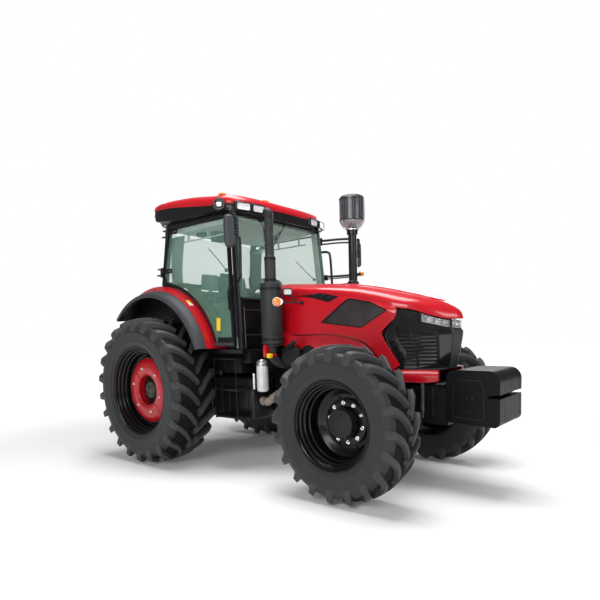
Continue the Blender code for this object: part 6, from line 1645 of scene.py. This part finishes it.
def below():
    for side in SIDES:
        tank = Shape(side)
        tank.box((0.642, 0.306, 0.562), (1.378, 0.658, 1.028), edge=0.045, steps=4)
        for x in (0.700, 0.820, 0.940):
            tank.box((x, 0.640, 0.620), (x + 0.060, 0.6655, 0.970), edge=0.010)
        tank.box((0.850, 0.2478, 0.700), (1.100, 0.330, 0.900))
        for x in (0.770, 1.300):
            tank.box((x - 0.014, 0.302, 0.556), (x + 0.014, 0.6635, 1.0335))
        tank.lathe([(0.0, 0.060), (0.036, 0.060), (0.042, 0.052), (0.042, 0.020), (0.030, 0.016), (0.030, -0.020),
                    (0.0, -0.020)], (0.720, 0.540, 1.030), steps=28)
        tank.done("tank_body_", BLACK, replaces="tank_", angle=40)
        steps = Shape(side)
        near, far = 0.6665, 0.858
        wide = (far - near) / 5
        start, end = (0.003, 0.010) if side > 0 else (0.010, 0.003)
        for z in (0.6003, 0.9003):
            for k in range(5):
                y = near + wide * k
                steps.box((0.975, y + start, z), (1.325, y + wide - end, z + 0.020), edge=0.003)
            for x in (0.971, 1.317):
                steps.box((x, near, z - 0.010), (x + 0.011, far, z + 0.024), edge=0.003)
        for x in (0.9705, 1.3175):
            steps.box((x, 0.8545, 0.592), (x + 0.011, 0.860, 1.260), edge=0.002)
        steps.box((0.9705, 0.690, 1.240), (1.3285, 0.860, 1.252), edge=0.003)
        steps.done("steps_", BLACK)
        # Dark housings and lines under the cab floor
        under = Shape(side)
        under.box((0.400, 0.300, 1.060), (0.930, 0.560, 1.292), edge=0.020)
        under.box((0.960, 0.330, 1.080), (1.240, 0.700, 1.298), edge=0.014)
        under.box((1.250, 0.420, 1.190), (1.385, 0.700, 1.345), edge=0.012)
        for i in range(5):
            y = 0.400 + 0.045 * i
            under.tube([(1.360, y, 1.250 - 0.01 * i), (1.440, y + 0.02, 1.120 - 0.02 * i), (1.400, y, 0.980),
                        (1.300, y - 0.04, 0.900 + 0.02 * i)], 0.012, sides=10)
        for i in range(4):
            under.tube([(0.300, 0.320 + 0.03 * i, 1.100), (0.600, 0.340 + 0.04 * i, 1.040),
                        (0.980, 0.360 + 0.04 * i, 1.050 + 0.01 * i), (1.300, 0.380 + 0.03 * i, 1.120)], 0.010, sides=8)
        under.done("under_cab_", CAST, angle=40)
        # Engine side: housings, lines and plates between the wheels
        engine = Shape(side)
        engine.lathe([(0.0, 0.0), (0.080, 0.0), (0.090, 0.010), (0.090, 0.060), (0.098, 0.064), (0.098, 0.120),
                      (0.088, 0.128), (0.088, 0.180), (0.070, 0.190), (0.030, 0.192), (0.030, 0.205), (0.0, 0.205)],
                     (1.930 if side > 0 else 1.985, 0.271, 1.290), (0, 1, 0), steps=36)
        engine.lathe([(0.0, 0.0), (0.060, 0.0), (0.066, 0.008), (0.066, 0.090), (0.058, 0.100), (0.0, 0.100)],
                     (2.180, 0.271, 1.180), (0, 1, 0), steps=30)
        for k in range(4):
            x = 1.580 + 0.215 * k
            engine.box((x, 0.268, 1.360), (x + 0.160, 0.330, 1.640), edge=0.014)
            engine.tube([(x + 0.080, 0.320, 1.600), (x + 0.080, 0.385, 1.560), (1.700 + 0.19 * k, 0.385, 1.460),
                         (1.760 + 0.16 * k, 0.350, 1.400)], 0.016)
        engine.tube([(1.560, 0.350, 1.430), (1.90, 0.372, 1.420), (2.300, 0.360, 1.430)], 0.026, sides=14)
        engine.box((1.540, 0.268, 0.640), (2.460, 0.300, 0.930), edge=0.018)
        for k in range(7):
            engine.bolt((1.600 + 0.125 * k, 0.3005, 0.915), 0.014)
        for k in range(3):
            engine.tube([(1.560, 0.330 + 0.03 * k, 1.150), (1.700, 0.360 + 0.03 * k, 1.080),
                         (1.950, 0.350 + 0.03 * k, 1.060 - 0.03 * k), (2.250, 0.300, 1.060)], 0.011, sides=8)
        engine.done("engine_side_", CAST, angle=40)

    x, y = 1.485, -0.620
    can, cap, holder, level, elbow = (Shape() for _ in range(5))
    can.lathe([(0.0, 0.886), (0.048, 0.886), (0.060, 0.896), (0.0635, 0.908), (0.0635, 1.158), (0.060, 1.168),
               (0.0, 1.170)], (x, y, 0), steps=44)
    can.done("filter_can", SILVER, replaces="filter_canister", angle=36)
    cap.lathe([(0.0, 1.170), (0.056, 1.170), (0.0635, 1.174), (0.0635, 1.194), (0.056, 1.202), (0.046, 1.206),
               (0.046, 1.226), (0.036, 1.235), (0.0, 1.235)], (x, y, 0), steps=40)
    for a in turns(8):
        u, v = x + 0.053 * math.cos(a), y + 0.053 * math.sin(a)
        cap.box((u - 0.006, v - 0.006, 1.198), (u + 0.006, v + 0.006, 1.214), edge=0.002)
    cap.done("filter_cap", STEEL, angle=36)
    holder.box((1.440, -0.600, 1.092), (1.530, -0.3003, 1.148), edge=0.008)
    holder.box((1.395, -0.640, 1.168), (1.440, -0.560, 1.180), edge=0.003)
    holder.tube([(1.400, -0.600, 1.174), (1.360, -0.560, 1.200), (1.350, -0.480, 1.230)], 0.009, sides=10)
    holder.done("filter_holder", CAST)
    level.rod((1.372, -0.640, 0.905), (1.372, -0.640, 1.080), 0.012, sides=16, edge=0.003)
    level.done("level_tube", LENS)
    elbow.tube([(1.300, -0.500, 0.800), (1.380, -0.520, 0.765), (1.470, -0.530, 0.765), (1.545, -0.520, 0.810),
                (1.600, -0.480, 0.850), (1.660, -0.400, 0.880), (1.700, -0.301, 0.890)],
               lambda t: 0.044 + (0.006 if int(t * 26) % 4 == 0 else 0.0), sides=20, fine=8)
    elbow.done("beige_elbow", PIPE, angle=40)
    block("yellow_tag", YELLOW, (1.676, -0.7445, 1.258), (1.724, -0.7010, 1.304), 0.003)
    bracket, housing = Shape(), Shape()
    bracket.box((1.622, -0.740, 1.262), (1.656, -0.640, 1.392), edge=0.006)
    bracket.box((1.656, -0.700, 1.270), (1.730, -0.640, 1.300))
    bracket.done("red_bracket", RED)
    housing.lathe([(0.0, 0.0), (0.100, 0.0), (0.112, 0.012), (0.112, 0.110), (0.098, 0.126), (0.040, 0.130),
                   (0.0, 0.130)], (1.790, -0.420, 1.270), (0.25, -0.97, 0), steps=40)
    housing.tube([(1.650, -0.480, 1.330), (1.720, -0.540, 1.330), (1.800, -0.560, 1.360), (1.880, -0.520, 1.420)],
                 0.020)
    housing.done("round_housing", CAST, angle=40)


# ---- Front: weights, carrier and axle

def front_end():
    count, half = 10, 0.297
    foot, top, rear, tip = 0.6500, 1.1500, 3.4550, 3.9340
    slot = top - 0.225
    outline = [(rear, foot + 0.030), (tip - 0.040, foot + 0.014)]
    outline += arc((tip - 0.050, foot + 0.066), 0.050, -60, 0, 6)
    outline += [(tip, slot - 0.012), (tip - 0.110, slot - 0.012), (tip - 0.110, slot + 0.020), (tip, slot + 0.020)]
    outline += arc((tip - 0.105, top - 0.105), 0.105, 0, 90, 12)
    outline += [(rear + 0.080, top), (rear + 0.020, top - 0.018), (rear, top - 0.060)]
    pitch, gap = 2 * half / count, 0.0022
    slabs, core, raised, carrier, tubes = (Shape() for _ in range(5))
    for i in range(count):
        first, last = i == 0, i == count - 1
        slabs.plate(outline if first or last else shrink(outline, 0.0015),
                    -half + pitch * i + (0.0 if first else gap), -half + pitch * (i + 1) - (0.0 if last else gap))
    slabs.done("weights", WEIGHT, replaces="front_weights", bevel=0.0045)
    core.plate(shrink(outline, 0.016), -half + 0.010, half - 0.010)
    core.done("weights_core", CAST)
    border = [(rear + 0.060, foot + 0.080), (tip - 0.150, foot + 0.066), (tip - 0.135, foot + 0.085),
              (tip - 0.135, top - 0.150), (tip - 0.175, top - 0.085), (rear + 0.110, top - 0.085),
              (rear + 0.060, top - 0.135)]
    for raised.side in SIDES:
        raised.plate(border, half - 0.001, half + 0.0025, holes=[shrink(border, 0.007)])
        for x, z in ((rear + 0.190, 0.905), (rear + 0.240, 0.905), (rear + 0.215, 0.780)):
            raised.rod((x, half - 0.001, z), (x, half + 0.004, z), 0.012, sides=20)
    raised.done("weights_panel", BLACK, bevel=0.001)

    for carrier.side in SIDES:
        carrier.plate([(2.330, 0.905), (2.980, 0.905), (3.100, 0.760), (3.440, 0.700), (3.440, 0.985), (3.300, 1.000),
                       (2.330, 0.995)], 0.2505, 0.272,
                      holes=[[(3.160, 0.800), (3.260, 0.780), (3.260, 0.930), (3.160, 0.930)]])
        for x in (2.400, 2.520, 3.050, 3.340, 3.400):
            for z in (0.935, 0.975):
                carrier.bolt((x, 0.2725, z), 0.018)
        carrier.box((3.300, 0.250, 0.720), (3.330, 0.290, 0.985))
    # Radiator pack and its frame behind the mask
    carrier.boxes(0.010, ((2.640, -0.330, 1.040), (2.700, 0.330, 1.560)),
                  ((2.900, -0.280, 1.020), (2.940, 0.280, 1.480)))
    for y in (-0.285, 0.255):
        carrier.box((2.690, y, 1.030), (3.200, y + 0.030, 1.070), edge=0.006)
    for z in (1.060 + 0.048 * k for k in range(9)):
        carrier.box((2.941, -0.270, z), (2.945, 0.270, z + 0.008), edge=0)
    carrier.done("carrier_sides", CAST, bevel=0.003)
    for tubes.side in SIDES:
        tubes.rod((3.225, 0.300, 0.760), (3.225, 0.300, 1.028), 0.020, sides=20, edge=0.003)
        tubes.rod((3.225, 0.300, 0.700), (3.225, 0.300, 0.760), 0.013, sides=16)
        tubes.rod((2.360, 0.300, 0.940), (2.360, 0.300, 0.990), 0.030, sides=20, edge=0.003)
    tubes.done("front_tubes", HUB)
    block("carrier_top", GREY, (3.350, -0.298, 1.010), (3.440, 0.298, 1.026))


# ---- Rear: lamps, plate and lines

def rear_end():
    for side in SIDES:
        block("tail_lamp_housing_", BLACK, (-0.775, 0.686, 1.860), (-0.660, 0.812, 1.945), 0.006, side)
        block("tail_lamp_red_", RUBY, (-0.783, 0.693, 1.868), (-0.7740, 0.746, 1.937), side=side)
        block("tail_lamp_amber_", AMBER, (-0.783, 0.752, 1.868), (-0.7740, 0.805, 1.937), side=side)
        spot = between_arcs(TOP, 0.290, 0.42, 0.0055)
        place = Matrix.Translation((spot.x, side * spot.y, spot.z + 0.003)) @ aim(from_arch(spot))
        block("fender_mark_", YELLOW, (-0.050, -0.026, -0.004), (0.000, 0.026, 0.0030), 0.002, side, place)
        block("fender_mark_pale_", LENS, (0.002, -0.026, -0.004), (0.045, 0.026, 0.0030), 0.002, side, place)
    lines = Shape()
    for y in (-0.150, -0.050, 0.050, 0.150):
        lines.box((-0.475, y - 0.035, 0.905), (-0.405, y + 0.035, 0.965), edge=0.006)
        lines.rod((-0.480, y, 0.935), (-0.500, y, 0.935), 0.018, sides=20, edge=0.002)
    lines.done("rear_couplers", CAST)


# ---- The tractor

camera()
studio()
dress()
for side in SIDES:
    rear_wheel(side)
    front_wheel(side)
hood()
nose()
lower_sides()
for side in SIDES:
    fender(side)
cab()
roof()
roof_lamps()
intake()
exhaust()
mirrors()
door_parts()
interior()
below()
front_end()
rear_end()
